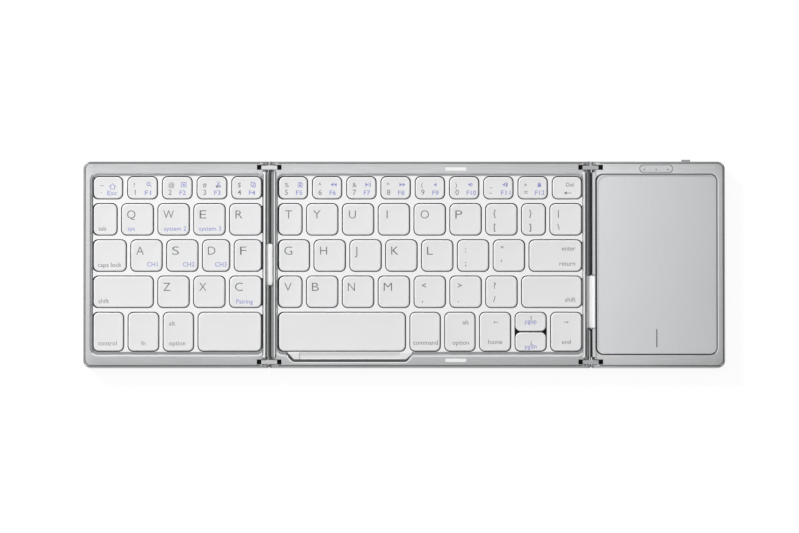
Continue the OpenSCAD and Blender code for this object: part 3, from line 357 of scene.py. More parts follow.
# Silicone sleeve of the ribbon cable
SLEEVE_RUBBER = Finish("silicone_sleeve", "FBFBFC", 0.55, 0.0, Grain.EVEN, 0.4, 0.01, 0.004)
FOOT_RUBBER = Finish("moulded_foot_rubber", "4A4C50", 0.8, 0.0, Grain.EVEN, 0.3, 0.05, 0.02)
KNOB_PLASTIC = Finish("moulded_knob_plastic", "8E9092", 0.5, 0.0, Grain.EVEN, 0.2, 0.02, 0.004)
WINDOW_PLASTIC = Finish("painted_window", "DCDDDE", 0.38, 0.5, Grain.ALONG_X, 0.3, 0.03, 0.001)
LIGHT_LENS = Finish("smoked_light", "808284", 0.4, 0.0, Grain.EVEN, 0.3, 0.02, 0.001)
ROLLED_STEEL = Finish("rolled_steel", "4C4E50", 0.5, 1.0, Grain.ALONG_X, 0.4, 0.06, 0.003)
CONTACT_FILM = Finish("printed_film", "3C4244", 0.5, 0.0, Grain.EVEN, 0.8, 0.06, 0.001)
DOME_RUBBER = Finish("silicone_dome", "B9BBBE", 0.6, 0.0, Grain.EVEN, 0.3, 0.02, 0.003)
SCISSOR_PLASTIC = Finish("moulded_scissor", "77797C", 0.5, 0.0, Grain.EVEN, 0.3, 0.03, 0.003)
MAGNET_PLATING = Finish("nickel_plating", "A8AAAD", 0.25, 1.0, Grain.EVEN, 0.3, 0.02, 0.001)
BOARD_LACQUER = Finish("board_lacquer", "1F5B3A", 0.35, 0.0, Grain.ALONG_X, 0.6, 0.2, 0.01, 0.05, 6)
CELL_FOIL = Finish("cell_foil", "B4B8BE", 0.35, 1.0, Grain.EVEN, 1.2, 0.05, 0.02, 0.03, 12)

# How far the touchpad plate's tongues reach past it
PAD_TONGUE = 0.8 * MM
# From the middle of the left hinge gap to the left end of the thumb scoop
SCOOP_FROM_GAP = 7.7 * MM

NODE_FINISHES: dict[str, Finish] = {
    "top_frame": FRAME_ALUMINIUM,
    "centre_top_frame": FRAME_CENTRE,
    "right_top_frame": FRAME_RIGHT,
    "bottom_cover": COVER_ALUMINIUM,
    "hinge_rail": RAIL_METAL,
    "hinge_rails": RAIL_METAL,
    "key_deck": DECK_PLASTIC,
    "base_plate": ROLLED_STEEL,
    "membrane": CONTACT_FILM,
    "domes": DOME_RUBBER,
    "scissors": SCISSOR_PLASTIC,
    "feet": FOOT_RUBBER,
    "screws": PIN_STEEL,
    "catch_bars": BAR_LACQUER,
    "magnets": MAGNET_PLATING,
    "links": LINK_STEEL,
    "right_links": SHADED_LINK_STEEL,
    "hinge_pins": PIN_STEEL,
    "ribbon": SLEEVE_RUBBER,
    "main_board": BOARD_LACQUER,
    "touchpad_board": BOARD_LACQUER,
    "battery": CELL_FOIL,
    "charging_socket": MAGNET_PLATING,
    "indicator_window": WINDOW_PLASTIC,
    "touchpad_plate": PAD_SURFACE,
    "switch_knob": KNOB_PLASTIC,
}


def rounded_outline(x0: float, y0: float, x1: float, y1: float, r: float, steps: int = 8) -> np.ndarray:
    """Points of a rectangle with round corners, anticlockwise from the right end of its front edge.

    Each corner is a quarter circle: centre plus r times (cos a, sin a), with a in equal steps.

    Args:
        x0, y0, x1, y1: the rectangle.
        r: radius of the corners.
        steps: points for each corner, less one.

    Returns:
        An array of 4 * (steps + 1) points.
    """
    angles = np.linspace(0, math.pi / 2, steps + 1)
    corners = [(x1 - r, y0 + r, -1), (x1 - r, y1 - r, 0), (x0 + r, y1 - r, 1), (x0 + r, y0 + r, 2)]
    return np.concatenate(
        [
            np.stack([x + r * np.cos(angles + q * math.pi / 2), y + r * np.sin(angles + q * math.pi / 2)], 1)
            for x, y, q in corners
        ]
    )


@dataclass
class Shells:
    """Collects the vertices and faces of the shells that make one piece."""

    points: list[np.ndarray] = field(default_factory=list)
    faces: list[tuple[int, ...]] = field(default_factory=list)
    count: int = 0

    def add(self, points: np.ndarray, faces: np.ndarray | list) -> None:
        """Adds a closed shell, turned the right way out.

        The sign of the sum of a . (b x c) over its triangles tells whether its faces point outwards.

        Args:
            points: its vertices.
            faces: its faces, as rows of vertex numbers.
        """
        faces = [tuple(int(i) for i in face) for face in faces]
        fans = np.array([(f[0], f[i], f[i + 1]) for f in faces for i in range(1, len(f) - 1)])
        middle = points - points.mean(0)
        a, b, c = middle[fans[:, 0]], middle[fans[:, 1]], middle[fans[:, 2]]
        if np.einsum("ij,ij->i", a, np.cross(b, c)).sum() < 0:
            faces = [face[::-1] for face in faces]
        self.points.append(points)
        self.faces += [tuple(i + self.count for i in face) for face in faces]
        self.count += len(points)

    def add_rings(self, rings: np.ndarray, ends: tuple[np.ndarray, np.ndarray]) -> None:
        """Adds a shell of rings, each joined to the next by quads, with a fan to a point at both ends.

        Args:
            rings: an array of rings by points by 3.
            ends: the points that close the first and the last ring.
        """
        n, m = rings.shape[:2]
        first, last = n * m, n * m + 1
        around = np.arange(m)
        start = np.stack([np.full(m, first), (around + 1) % m, around], 1)
        stop = np.stack([np.full(m, last), (n - 1) * m + around, (n - 1) * m + (around + 1) % m], 1)
        points = np.concatenate([rings.reshape(-1, 3), np.array(ends)])
        self.add(points, self.quads(n - 1, n, m) + start.tolist() + stop.tolist())

    def add_loop(self, rings: np.ndarray) -> None:
        """Adds a closed tube: rings by points by 3, where the last ring joins the first again."""
        n, m = rings.shape[:2]
        self.add(rings.reshape(-1, 3), self.quads(n, n, m))

    @staticmethod
    def quads(steps: int, n: int, m: int) -> list[list[int]]:
        """Faces that join each of the first rings to the next, where n rings have m points each."""
        ring, place = np.meshgrid(np.arange(steps), np.arange(m), indexing="ij")
        after, over = (place + 1) % m, (ring + 1) % n
        corners = [ring * m + place, ring * m + after, over * m + after, over * m + place]
        return np.stack(corners, -1).reshape(-1, 4).tolist()

    def add_plate(self, outline: np.ndarray, z0: float, z1: float) -> None:
        """Adds a flat plate between two heights, whose outline is given anticlockwise."""
        n = len(outline)
        around = np.arange(n)
        after = (around + 1) % n
        points = np.concatenate([np.column_stack([outline, np.full(n, z)]) for z in (z0, z1)])
        walls = np.stack([around, after, after + n, around + n], 1).tolist()
        self.add(points, walls + [around[::-1].tolist(), (around + n).tolist()])

    def piece(
        self, name: str, body: str, finish: Finish, slot: str, crease: float = 35.0
    ) -> bpy.types.Object:
        """Turns the shells into one object that rides on a body.

        Args:
            name: the object's name.
            body: the body that it moves with; empty for a piece that rides on none.
            finish: its surface.
            slot: not used.
            crease: faces that meet at more than this many degrees keep a sharp edge.

        Returns:
            The new object.
        """
        mesh = bpy.data.meshes.new(name)
        mesh.from_pydata(np.concatenate(self.points).tolist(), [], self.faces)
        mesh.shade_smooth()
        mesh.set_sharp_from_angle(angle=math.radians(crease))
        piece = put(name, mesh)
        mesh.materials.append(finish.build())
        if body:
            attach(piece, body)
        LOG.info("%s: %d faces", name, len(self.faces))
        return piece


@dataclass(frozen=True)
class Key:
    """One keycap's place: left, front, right and rear edge, lowest and highest height."""

    x0: float
    y0: float
    x1: float
    y1: float
    z0: float
    z1: float

    @property
    def middle(self) -> tuple[float, float]:
        """Centre of the key, seen from above."""
        return (self.x0 + self.x1) / 2, (self.y0 + self.y1) / 2


def separate_solids(node: bpy.types.Object) -> list[Key]:
    """Finds the boxes of the separate solids in a node.

    Vertices at one place get one number, and every triangle passes its lowest number on to its corners
    until nothing changes: each solid then has a number of its own.

    Args:
        node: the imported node.

    Returns:
        The solids' boxes, from left to right, and from rear to front where they share a column.
    """
    mesh = node.data
    places = np.empty(len(mesh.vertices) * 3)
    mesh.vertices.foreach_get("co", places)
    places = places.reshape(-1, 3)
    _, number = np.unique(np.round(places / SAME_PLACE), axis=0, return_inverse=True)
    number = number.reshape(-1)
    mesh.calc_loop_triangles()
    corners = np.empty(len(mesh.loop_triangles) * 3, int)
    mesh.loop_triangles.foreach_get("vertices", corners)
    corners = number[corners.reshape(-1, 3)]
    label = np.arange(number.max() + 1)
    while True:
        lowest = label[corners].min(1)
        new = label.copy()
        for column in range(3):
            np.minimum.at(new, corners[:, column], lowest)
        new = new[new]
        if np.array_equal(new, label):
            break
        label = new
    solids = []
    for one in np.unique(label):
        inside = places[label[number] == one]
        (x0, y0, z0), (x1, y1, z1) = inside.min(0), inside.max(0)
        solids.append(Key(x0, y0, x1, y1, z0, z1))
    return sorted(solids, key=lambda k: (round(k.x0 / MM), -k.y0))


class Align(Enum):
    """Which side of a key a text is set from."""

    LEFT = "LEFT"
    CENTER = "CENTER"
    RIGHT = "RIGHT"


@dataclass(frozen=True)
class Mark:
    """Something printed on a key: a text, or an icon by its name.

    x is the distance in millimetres from the key's left or right edge, or from its middle, and y the
    height of the text's foot, or of the icon's middle, above the key's front edge; a negative y is
    measured from its rear edge. size is the height of a capital, or of the icon. width, where it isn't 0,
    is the width that the text is stretched to.
    """

    text: str
    x: float
    y: float
    size: float
    align: Align = Align.LEFT
    blue: bool = False
    icon: bool = False
    width: float = 0.0


# Widths of the capitals as shares of their height; 0 leaves the typeface's own
CAPITAL_WIDTHS = dict(A=0.86, B=0.78, C=0.9, D=0.86, E=0.76, F=0.72, G=0.92, H=0.8, I=0.0, J=0.0, K=0.82)
CAPITAL_WIDTHS |= dict(L=0.68, M=0.95, N=0.82, O=0.96, P=0.78, Q=0.97, R=0.8, S=0.8, T=0.8, U=0.8, V=0.86)
CAPITAL_WIDTHS |= dict(W=1.2, X=0.84, Y=0.84, Z=0.82)


def letter(text: str, x: float = 2.4, size: float = 4.1) -> list[Mark]:
    """A large letter near the rear left corner of a key."""
    return [Mark(text, x, -6.9, size, width=CAPITAL_WIDTHS[text] * size)]


def pair(upper: str, lower: str) -> list[Mark]:
    """Two signs one above the other at the left of a letter key."""
    return [Mark(upper, 3.3, -5.7, 2.9), Mark(lower, 3.3, -12.2, 2.9)]


def word(
    text: str, x: float = 2.1, y: float = 2.0, align: Align = Align.LEFT, blue: bool = False
) -> list[Mark]:
    """A function's name in small letters."""
    return [Mark(text, x, y, 2.15, align, blue)]


def number(upper: str, lower: str, icon: str, order: int) -> list[Mark]:
    """A key of the number row: sign over digit at the left, icon over the function's number at the right."""
    function = f"F{order}"
    return [
        Mark(upper, 2.5, -4.8, 2.2),
        Mark(lower, 2.5, -8.5, 2.6),
        Mark(icon, 9.9, -3.6, 2.5, blue=True, icon=True),
        Mark(function, 7.9, -8.5, 2.2, blue=True, width=1.5 * len(function)),
    ]


LEFT_ICONS = ("lens", "frame", "scissors", "copy")
CENTRE_ICONS = ("paste", "back", "play", "forward", "mute", "quiet", "loud", "lock")
LEGENDS: dict[str, list[list[Mark]]] = {
    "key_escape": [
        [
            Mark("~", 3.0, -4.9, 2.2),
            Mark("`", 2.9, -9.6, 2.6),
            Mark("house", 8.8, -4.5, 2.9, blue=True, icon=True),
            Mark("Esc", 6.3, -8.6, 2.1, blue=True, width=4.6),
        ]
    ],
    "key_left_numbers": [number(*signs) for signs in zip("!@#$", "1234", LEFT_ICONS, range(1, 5))],
    "key_tab": [word("tab")],
    "key_left_top_row": [
        letter("Q") + word("sys", 2.6, blue=True),
        letter("W") + word("system 2", 2.6, blue=True),
        letter("E", 2.6) + word("system 3", 2.2, blue=True),
        letter("R", 2.6),
    ],
    "key_caps_lock": [word("caps lock", 1.8)],
    "key_left_home_row": [
        letter("A") + word("CH1", 7.3, 2.2, blue=True),
        letter("S") + word("CH2", 7.3, 2.2, blue=True),
        letter("D") + word("CH3", 5.6, 2.2, blue=True),
        letter("F", 2.6),
    ],
    "key_left_shift": [word("shift")],
    "key_left_bottom_row": [letter("Z"), letter("X"), letter("C") + word("Pairing", 2.8, 1.8, blue=True)],
    "key_left_modifiers": [
        word("control", 2.1, 2.7),
        word("fn", 0.0, 2.7, Align.CENTER),
        word("alt", 2.5, 12.1) + word("option", 2.5, 2.7),
    ],
    "key_left_space": [[]],
    "key_centre_numbers": [
        *(number(*signs) for signs in zip("%^&*()_+", "567890-=", CENTRE_ICONS, range(5, 13))),
        [Mark("Del", 6.2, -4.5, 1.9), Mark("left", 7.0, -7.6, 3.6, icon=True)],
    ],
    "key_centre_top_row": [
        *(letter(one, x) for one, x in zip("TYUIOP", (2.8, 3.0, 2.9, 3.3, 2.9, 2.4))),
        *(pair(upper, lower) for upper, lower in zip("{}|", "[]\\")),
    ],
    "key_centre_home_row": [
        *(letter(one, x) for one, x in zip("GHJKL", (2.4, 2.7, 2.4, 2.4, 2.4))),
        pair(":", ";"),
        pair('"', "'"),
    ],
    "key_enter": [word("enter", 2.8, 9.8, Align.RIGHT) + word("return", 2.8, 2.6, Align.RIGHT)],
    "key_centre_bottom_row": [*map(letter, "VBNM"), *map(pair, "<>?", ",./")],
    "key_right_shift": [word("shift", 2.8, 2.7, Align.RIGHT)],
    "key_centre_space": [[]],
    "key_centre_modifiers": [
        word("command", 0.2, 3.0, Align.CENTER),
        word("alt", 2.9, 12.6, Align.RIGHT) + word("option", 2.6, 3.0, Align.RIGHT),
    ],
    "key_arrows": [
        [Mark("left", 7.3, -4.5, 2.2, icon=True)] + word("home", 0.0, 3.3, Align.CENTER),
        [Mark("up", 7.4, -2.5, 2.0, icon=True)] + word("pgup", 0.0, 3.7, Align.CENTER, True),
        [Mark("down", 7.4, -5.2, 2.0, icon=True)] + word("pgdn", 0.0, 1.2, Align.CENTER, True),
        [Mark("right", 7.3, -4.5, 2.2, icon=True)] + word("end", 0.0, 3.3, Align.CENTER),
    ],
}


def circle(x: float, y: float, r: float, start: float = 0.0, stop: float = 360.0) -> Line:
    """Points of an arc, from one angle in degrees to another."""
    angles = np.radians(np.linspace(start, stop, ARC_POINTS))
    return list(zip(x + r * np.cos(angles), y + r * np.sin(angles)))


def rectangle(x0: float, y0: float, x1: float, y1: float) -> Line:
    """Corners of a rectangle, anticlockwise from its lower left one."""
    return [(x0, y0), (x1, y0), (x1, y1), (x0, y1)]


def closed(points: Line) -> Line:
    """A line that ends where it starts."""
    return [*points, points[0]]


# Icons in a box of 1 by 1 about its middle: lines are drawn with a pen, areas are filled
SPEAKER = [(-0.45, -0.15), (-0.25, -0.15), (0.0, -0.4), (0.0, 0.4), (-0.25, 0.15), (-0.45, 0.15)]
ICONS: dict[str, tuple[list, list]] = {
    "house": (
        [
            [(-0.55, 0.0), (0.0, 0.45), (0.55, 0.0)],
            [(-0.33, 0.1), (-0.33, -0.42), (0.33, -0.42), (0.33, 0.1)],
        ],
        [],
    ),
    "lens": ([circle(-0.1, 0.12, 0.3), [(0.12, -0.1), (0.42, -0.42)]], []),
    "frame": ([closed(rectangle(-0.45, -0.4, 0.45, 0.4))], [rectangle(-0.2, -0.17, 0.2, 0.17)]),
    "scissors": (
        [
            [(-0.25, 0.5), (0.2, -0.2)],
            [(0.25, 0.5), (-0.2, -0.2)],
            circle(-0.24, -0.33, 0.16),
            circle(0.24, -0.33, 0.16),
        ],
        [],
    ),
    "copy": (
        [
            closed(rectangle(-0.4, -0.2, 0.15, 0.45)),
            [(-0.1, -0.2), (-0.1, -0.45), (0.42, -0.45), (0.42, 0.2), (0.15, 0.2)],
        ],
        [],
    ),
    "paste": (
        [closed(rectangle(-0.4, -0.45, 0.4, 0.3))],
        [rectangle(-0.18, 0.2, 0.18, 0.48), rectangle(-0.22, -0.3, 0.22, 0.02)],
    ),
    "back": ([], [[(-0.05, -0.35), (-0.05, 0.35), (-0.6, 0.0)], [(0.55, -0.35), (0.55, 0.35), (0.0, 0.0)]]),
    "forward": ([], [[(0.05, 0.35), (0.05, -0.35), (0.6, 0.0)], [(-0.55, 0.35), (-0.55, -0.35), (0.0, 0.0)]]),
    "play": (
        [[(0.2, -0.35), (0.2, 0.35)], [(0.45, -0.35), (0.45, 0.35)]],
        [[(-0.5, 0.38), (-0.5, -0.38), (0.05, 0.0)]],
    ),
    "mute": ([], [SPEAKER]),
    "quiet": ([circle(-0.05, 0.0, 0.3, -50, 50)], [SPEAKER]),
    "loud": ([circle(-0.05, 0.0, r, -50, 50) for r in (0.3, 0.5)], [SPEAKER]),
    "lock": ([circle(0.0, 0.1, 0.2, 0, 180)], [rectangle(-0.32, -0.45, 0.32, 0.1)]),
    "left": ([[(-0.3, 0.0), (0.5, 0.0)]], [[(-0.1, 0.22), (-0.5, 0.0), (-0.1, -0.22)]]),
    "right": ([[(-0.5, 0.0), (0.3, 0.0)]], [[(0.1, -0.22), (0.5, 0.0), (0.1, 0.22)]]),
    "up": ([[(0.0, -0.5), (0.0, 0.3)]], [[(0.22, 0.1), (0.0, 0.5), (-0.22, 0.1)]]),
    "down": ([[(0.0, -0.3), (0.0, 0.5)]], [[(-0.22, -0.1), (0.0, -0.5), (0.22, -0.1)]]),
}


@dataclass
class KeyBlock:
    """The keycaps of one node, and what is printed on them.

    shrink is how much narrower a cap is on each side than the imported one. first and last are added to it at
    the two ends of the panel's block, for caps that lie within near of them.
    """

    node: str
    body: str
    edge_r: float = 0.45 * MM
    edge_points: int = 6
    corner_r: float = 2.4 * MM
    least_r: float = 0.25 * MM
    wall: float = 0.9 * MM
    ceiling: float = 1.0 * MM
    dish: float = 0.1 * MM
    dish_run: float = 0.7
    dish_steps: tuple[float, ...] = (0.1, 0.25, 0.5, 0.75, 1)
    stem_r: float = 1.3 * MM
    stem_out: float = 0.2 * MM
    stem_points: int = 24
    pen: float = 0.3 * MM
    curve_steps: int = 3
    ink: float = 0.012 * MM
    capital: float = 0.716
    thin: float = -0.01
    bold: float = 0.006
    small: float = 3.0 * MM
    shrink: float = 0.12 * MM
    first: float = 0.3 * MM
    last: float = -0.05 * MM
    near: float = 0.5 * MM
    sign_mm: float = 2.7
    weld: float = 1e-4 * MM

    def build(self, node: bpy.types.Object, block: tuple[float, float]) -> list[Key]:
        """Builds the caps in place of the node, and the prints in three inks.

        Args:
            node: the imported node.
            block: left and right end of the panel's keys. A cap that ends there is a little narrower.

        Returns:
            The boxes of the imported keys.
        """
        solids = separate_solids(node)
        caps = Shells()
        prints: dict[Finish, Shells] = {LETTER_INK: Shells(), SIGN_INK: Shells(), FUNCTION_INK: Shells()}
        for key, marks in zip(solids, LEGENDS[self.node], strict=True):
            left = self.shrink + (self.first if key.x0 < block[0] + self.near else 0.0)
            right = self.shrink + (self.last if key.x1 > block[1] - self.near else 0.0)
            key = replace(key, x0=key.x0 + left, x1=key.x1 - right, y1=key.y1 - self.shrink)
            self.cap(caps, key)
            for mark in marks:
                ink = FUNCTION_INK if mark.blue else SIGN_INK if mark.size < self.sign_mm else LETTER_INK
                self.mark(prints[ink], key, mark)
        piece = caps.piece(self.node + "_caps", self.body, KEY_PLASTIC, "key_plastic")
        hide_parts(self.node)
        for ink, shells in prints.items():
            if shells.count:
                shells.piece(f"{self.node}_{ink.name}", self.body, ink, "key_plastic", PRINT_CREASE)
        return solids

    def top(self, key: Key, x: np.ndarray, y: np.ndarray) -> np.ndarray:
        """Height of a key's upper face: its highest point, less dish * (1 - (1 - s)^2).

        s grows from 0 at the rounded edge to 1 at the flat bottom of the dish, which starts when a point's
        distance from the nearest edge is dish_run of the greatest one.
        """
        inset = np.minimum(np.minimum(x - key.x0, key.x1 - x), np.minimum(y - key.y0, key.y1 - y))
        reach = (min(key.x1 - key.x0, key.y1 - key.y0) / 2 - self.edge_r) * self.dish_run
        s = np.clip((inset - self.edge_r) / reach, 0, 1)
        return key.z1 - self.dish * (1 - (1 - s) ** 2)

    def cap(self, shells: Shells, key: Key) -> None:
        """Adds one cap: a profile of insets and heights carried round the key's outline.

        The profile runs from the ceiling down the inner wall, up the outer side, over an edge of a quarter
        circle, and then inwards, where the height follows the dished top.

        Args:
            shells: the piece that the cap becomes part of.
            key: the cap's place.
        """
        turn = np.linspace(0, math.pi / 2, self.edge_points)
        z_ceiling = key.z1 - self.ceiling
        half = min(key.x1 - key.x0, key.y1 - key.y0) / 2
        z_skirt = key.z0 + self.stem_out
        inner = [(self.wall, z_ceiling), (self.wall, z_skirt)]
        side = [(0.0, z_skirt)]
        side += [(self.edge_r * (1 - math.cos(a)), key.z1 - self.edge_r * (1 - math.sin(a))) for a in turn]
        flat = [(self.edge_r + (half - self.edge_r) * self.dish_run * s, None) for s in self.dish_steps]
        rings = []
        for inset, z in inner + side + flat:
            r = max(self.corner_r - inset, self.least_r)
            ring = rounded_outline(key.x0 + inset, key.y0 + inset, key.x1 - inset, key.y1 - inset, r)
            heights = self.top(key, ring[:, 0], ring[:, 1]) if z is None else np.full(len(ring), z)
            rings.append(np.column_stack([ring, heights]))
        mx, my = key.middle
        peak = self.top(key, np.array(mx), np.array(my))
        shells.add_rings(np.array(rings), (np.array([mx, my, z_ceiling]), np.array([mx, my, float(peak)])))
        self.stem(shells, key, z_ceiling)

    def stem(self, shells: Shells, key: Key, z_root: float) -> None:
        """Adds the round stem that presses the dome: circles of one radius, drawn in at the lower end.

        Args:
            shells: the piece that the stem becomes part of.
            key: the cap's place.
            z_root: height of the ceiling that it hangs from.
        """
        turn = np.linspace(0, 2 * math.pi, self.stem_points, endpoint=False)
        mx, my = key.middle
        profile = [
            (self.stem_r, z_root + self.ceiling / 2),
            (self.stem_r, key.z0 + self.stem_out),
            (self.stem_r - self.stem_out, key.z0),
        ]
        around = np.column_stack([np.cos(turn), np.sin(turn)])
        rings = [np.column_stack([(mx, my) + r * around, np.full_like(turn, z)]) for r, z in profile]
        ends = (np.array([mx, my, profile[0][1]]), np.array([mx, my, key.z0]))
        shells.add_rings(np.array(rings), ends)

    def mark(self, shells: Shells, key: Key, mark: Mark) -> None:
        """Adds a text or an icon, as thin solids on the key's upper face.

        Args:
            shells: the piece of this ink.
            key: the key that carries it.
            mark: what is printed, and where.
        """
        y = (key.y0 if mark.y >= 0 else key.y1) + mark.y * MM
        x = {
            Align.LEFT: key.x0 + mark.x * MM,
            Align.CENTER: key.middle[0] + mark.x * MM,
            Align.RIGHT: key.x1 - mark.x * MM,
        }[mark.align]
        if mark.icon:
            self.icon(shells, key, mark, x, y)
        else:
            self.text(shells, key, mark, x, y)

    def text(self, shells: Shells, key: Key, mark: Mark, x: float, y: float) -> None:
        """Adds a text whose left, middle or right foot is at x, y."""
        curve = bpy.data.curves.new("text", "FONT")
        curve.body = mark.text
        curve.align_x = mark.align.value
        curve.resolution_u = self.curve_steps
        curve.offset = self.bold if mark.size * MM < self.small else self.thin
        curve.size = 1.0
        holder = bpy.data.objects.new("text", curve)
        flat = holder.to_mesh()
        scale = mark.size * MM / self.capital
        corners = np.array([v.co[:] for v in flat.vertices]).reshape(-1, 3)
        if mark.width:
            left, right = corners[:, 0].min(), corners[:, 0].max()
            corners[:, 0] = (corners[:, 0] - left) * mark.width * MM / scale / (right - left)
        faces = [tuple(p.vertices) for p in flat.polygons]
        edges = np.array([(a, b) for f in faces for a, b in zip(f, f[1:] + f[:1])])
        holder.to_mesh_clear()
        bpy.data.objects.remove(holder)
        bpy.data.curves.remove(curve)
        self.slab(shells, key, corners[:, :2] * scale + (x, y), faces, edges)

    def slab(self, shells: Shells, key: Key, flat: np.ndarray, faces: list, edges: np.ndarray) -> None:
        """Turns a flat figure into a thin solid: the figure, its underside, and a wall along its border.

        An edge that only one face uses lies on the border.

        Args:
            shells: the piece of this ink.
            key: the key that carries it.
            flat: the figure's points in X and Y.
            faces: its faces, anticlockwise.
            edges: each face's edges in their own direction.
        """
        cells = np.round(flat / self.weld)
        _, keep, number = np.unique(cells, axis=0, return_index=True, return_inverse=True)
        number = number.reshape(-1)
        flat = flat[keep]
        edges = number[edges]
        used = {(a, b) for a, b in edges.tolist()}
        border = [(a, b) for a, b in used if (b, a) not in used]
        z = self.top(key, flat[:, 0], flat[:, 1])
        upper = np.column_stack([flat, z + self.ink])
        lower = np.column_stack([flat, z - self.ink])
        n = len(flat)
        tops = [tuple(number[list(face)].tolist()) for face in faces]
        tops = [face for face in tops if len(set(face)) == len(face)]
        lows = [tuple(i + n for i in face[::-1]) for face in tops]
        walls = [(b, a, a + n, b + n) for a, b in border]
        shells.add(np.concatenate([upper, lower]), tops + lows + walls)

    def icon(self, shells: Shells, key: Key, mark: Mark, x: float, y: float) -> None:
        """Adds an icon about x, y: each pen stroke is a run of thin plates, each area one plate."""
        lines, areas = ICONS[mark.text]
        size = mark.size * MM
        for line in lines:
            points = np.array(line) * size + (x, y)
            for a, b in zip(points[:-1], points[1:]):
                step = (b - a) / np.linalg.norm(b - a) * self.pen / 2
                side = np.array([-step[1], step[0]])
                corners = [a - step - side, b + step - side, b + step + side, a - step + side]
                self.plate(shells, key, np.array(corners))
        for area in areas:
            self.plate(shells, key, np.array(area) * size + (x, y))

    def plate(self, shells: Shells, key: Key, outline: np.ndarray) -> None:
        """Adds one thin plate with this outline."""
        n = len(outline)
        edges = np.array([(i, (i + 1) % n) for i in range(n)])
        self.slab(shells, key, outline, [tuple(range(n))], edges)


class Side(Enum):
    """A side of an opening."""

    FRONT = "front"
    RIGHT = "right"
    REAR = "rear"
    LEFT = "left"


CORNER_POINTS = 9


def side_runs(extra: int = 0) -> dict[Side, np.ndarray]:
    """Numbers of a rounded outline's points that belong to each side, from corner middle to corner middle.

    Args:
        extra: points that follow the outline's own, along the front edge from left to right.

    Returns:
        The numbers, in their order round the outline.
    """
    half = CORNER_POINTS // 2
    count = 4 * CORNER_POINTS + extra
    runs = {
        side: np.arange(half + n * CORNER_POINTS, half + (n + 1) * CORNER_POINTS + 1)
        for n, side in enumerate((Side.RIGHT, Side.REAR, Side.LEFT))
    }
    runs[Side.FRONT] = np.arange(half + 3 * CORNER_POINTS, count + half + 1) % count
    return runs


def outward(outline: np.ndarray) -> np.ndarray:
    """Unit vectors that point out of a closed outline at each of its points."""
    ahead = np.roll(outline, -1, 0) - np.roll(outline, 1, 0)
    ahead /= np.linalg.norm(ahead, axis=1, keepdims=True)
    return np.column_stack([ahead[:, 1], -ahead[:, 0]])


def section_rings(lines: list[tuple[np.ndarray, float]]) -> np.ndarray:
    """Rings of a band whose section has one corner on each line, each line at its own height."""
    return np.stack([np.column_stack([line, np.full(len(line), z)]) for line, z in lines], 1)


def flat_band(near: np.ndarray, far: np.ndarray, top: float, foot: float) -> np.ndarray:
    """Rings of a flat band between two lines and two heights."""
    return section_rings([(near, top), (far, top), (far, foot), (near, foot)])


def cross_rings(x: np.ndarray, ends: tuple[float, float], z: np.ndarray) -> np.ndarray:
    """The same section, whose corners are at x and z, at two places along Y."""
    return np.array([np.column_stack([x, np.full(len(x), y), z]) for y in ends])


def steps_along(path: np.ndarray) -> np.ndarray:
    """Unit vectors along an open path at each of its points."""
    ahead = np.gradient(path, axis=0)
    return ahead / np.linalg.norm(ahead, axis=1, keepdims=True)


def gap_middle(side: str) -> float:
    """X of the middle of a hinge's gap, which its ribbon cable lies across."""
    low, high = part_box(side + "_ribbon")
    return (low.x + high.x) / 2


def add_run(shells: Shells, rings: np.ndarray) -> None:
    """Adds an open run of rings, closed at both ends."""
    shells.add_rings(rings, (rings[0].mean(0), rings[-1].mean(0)))


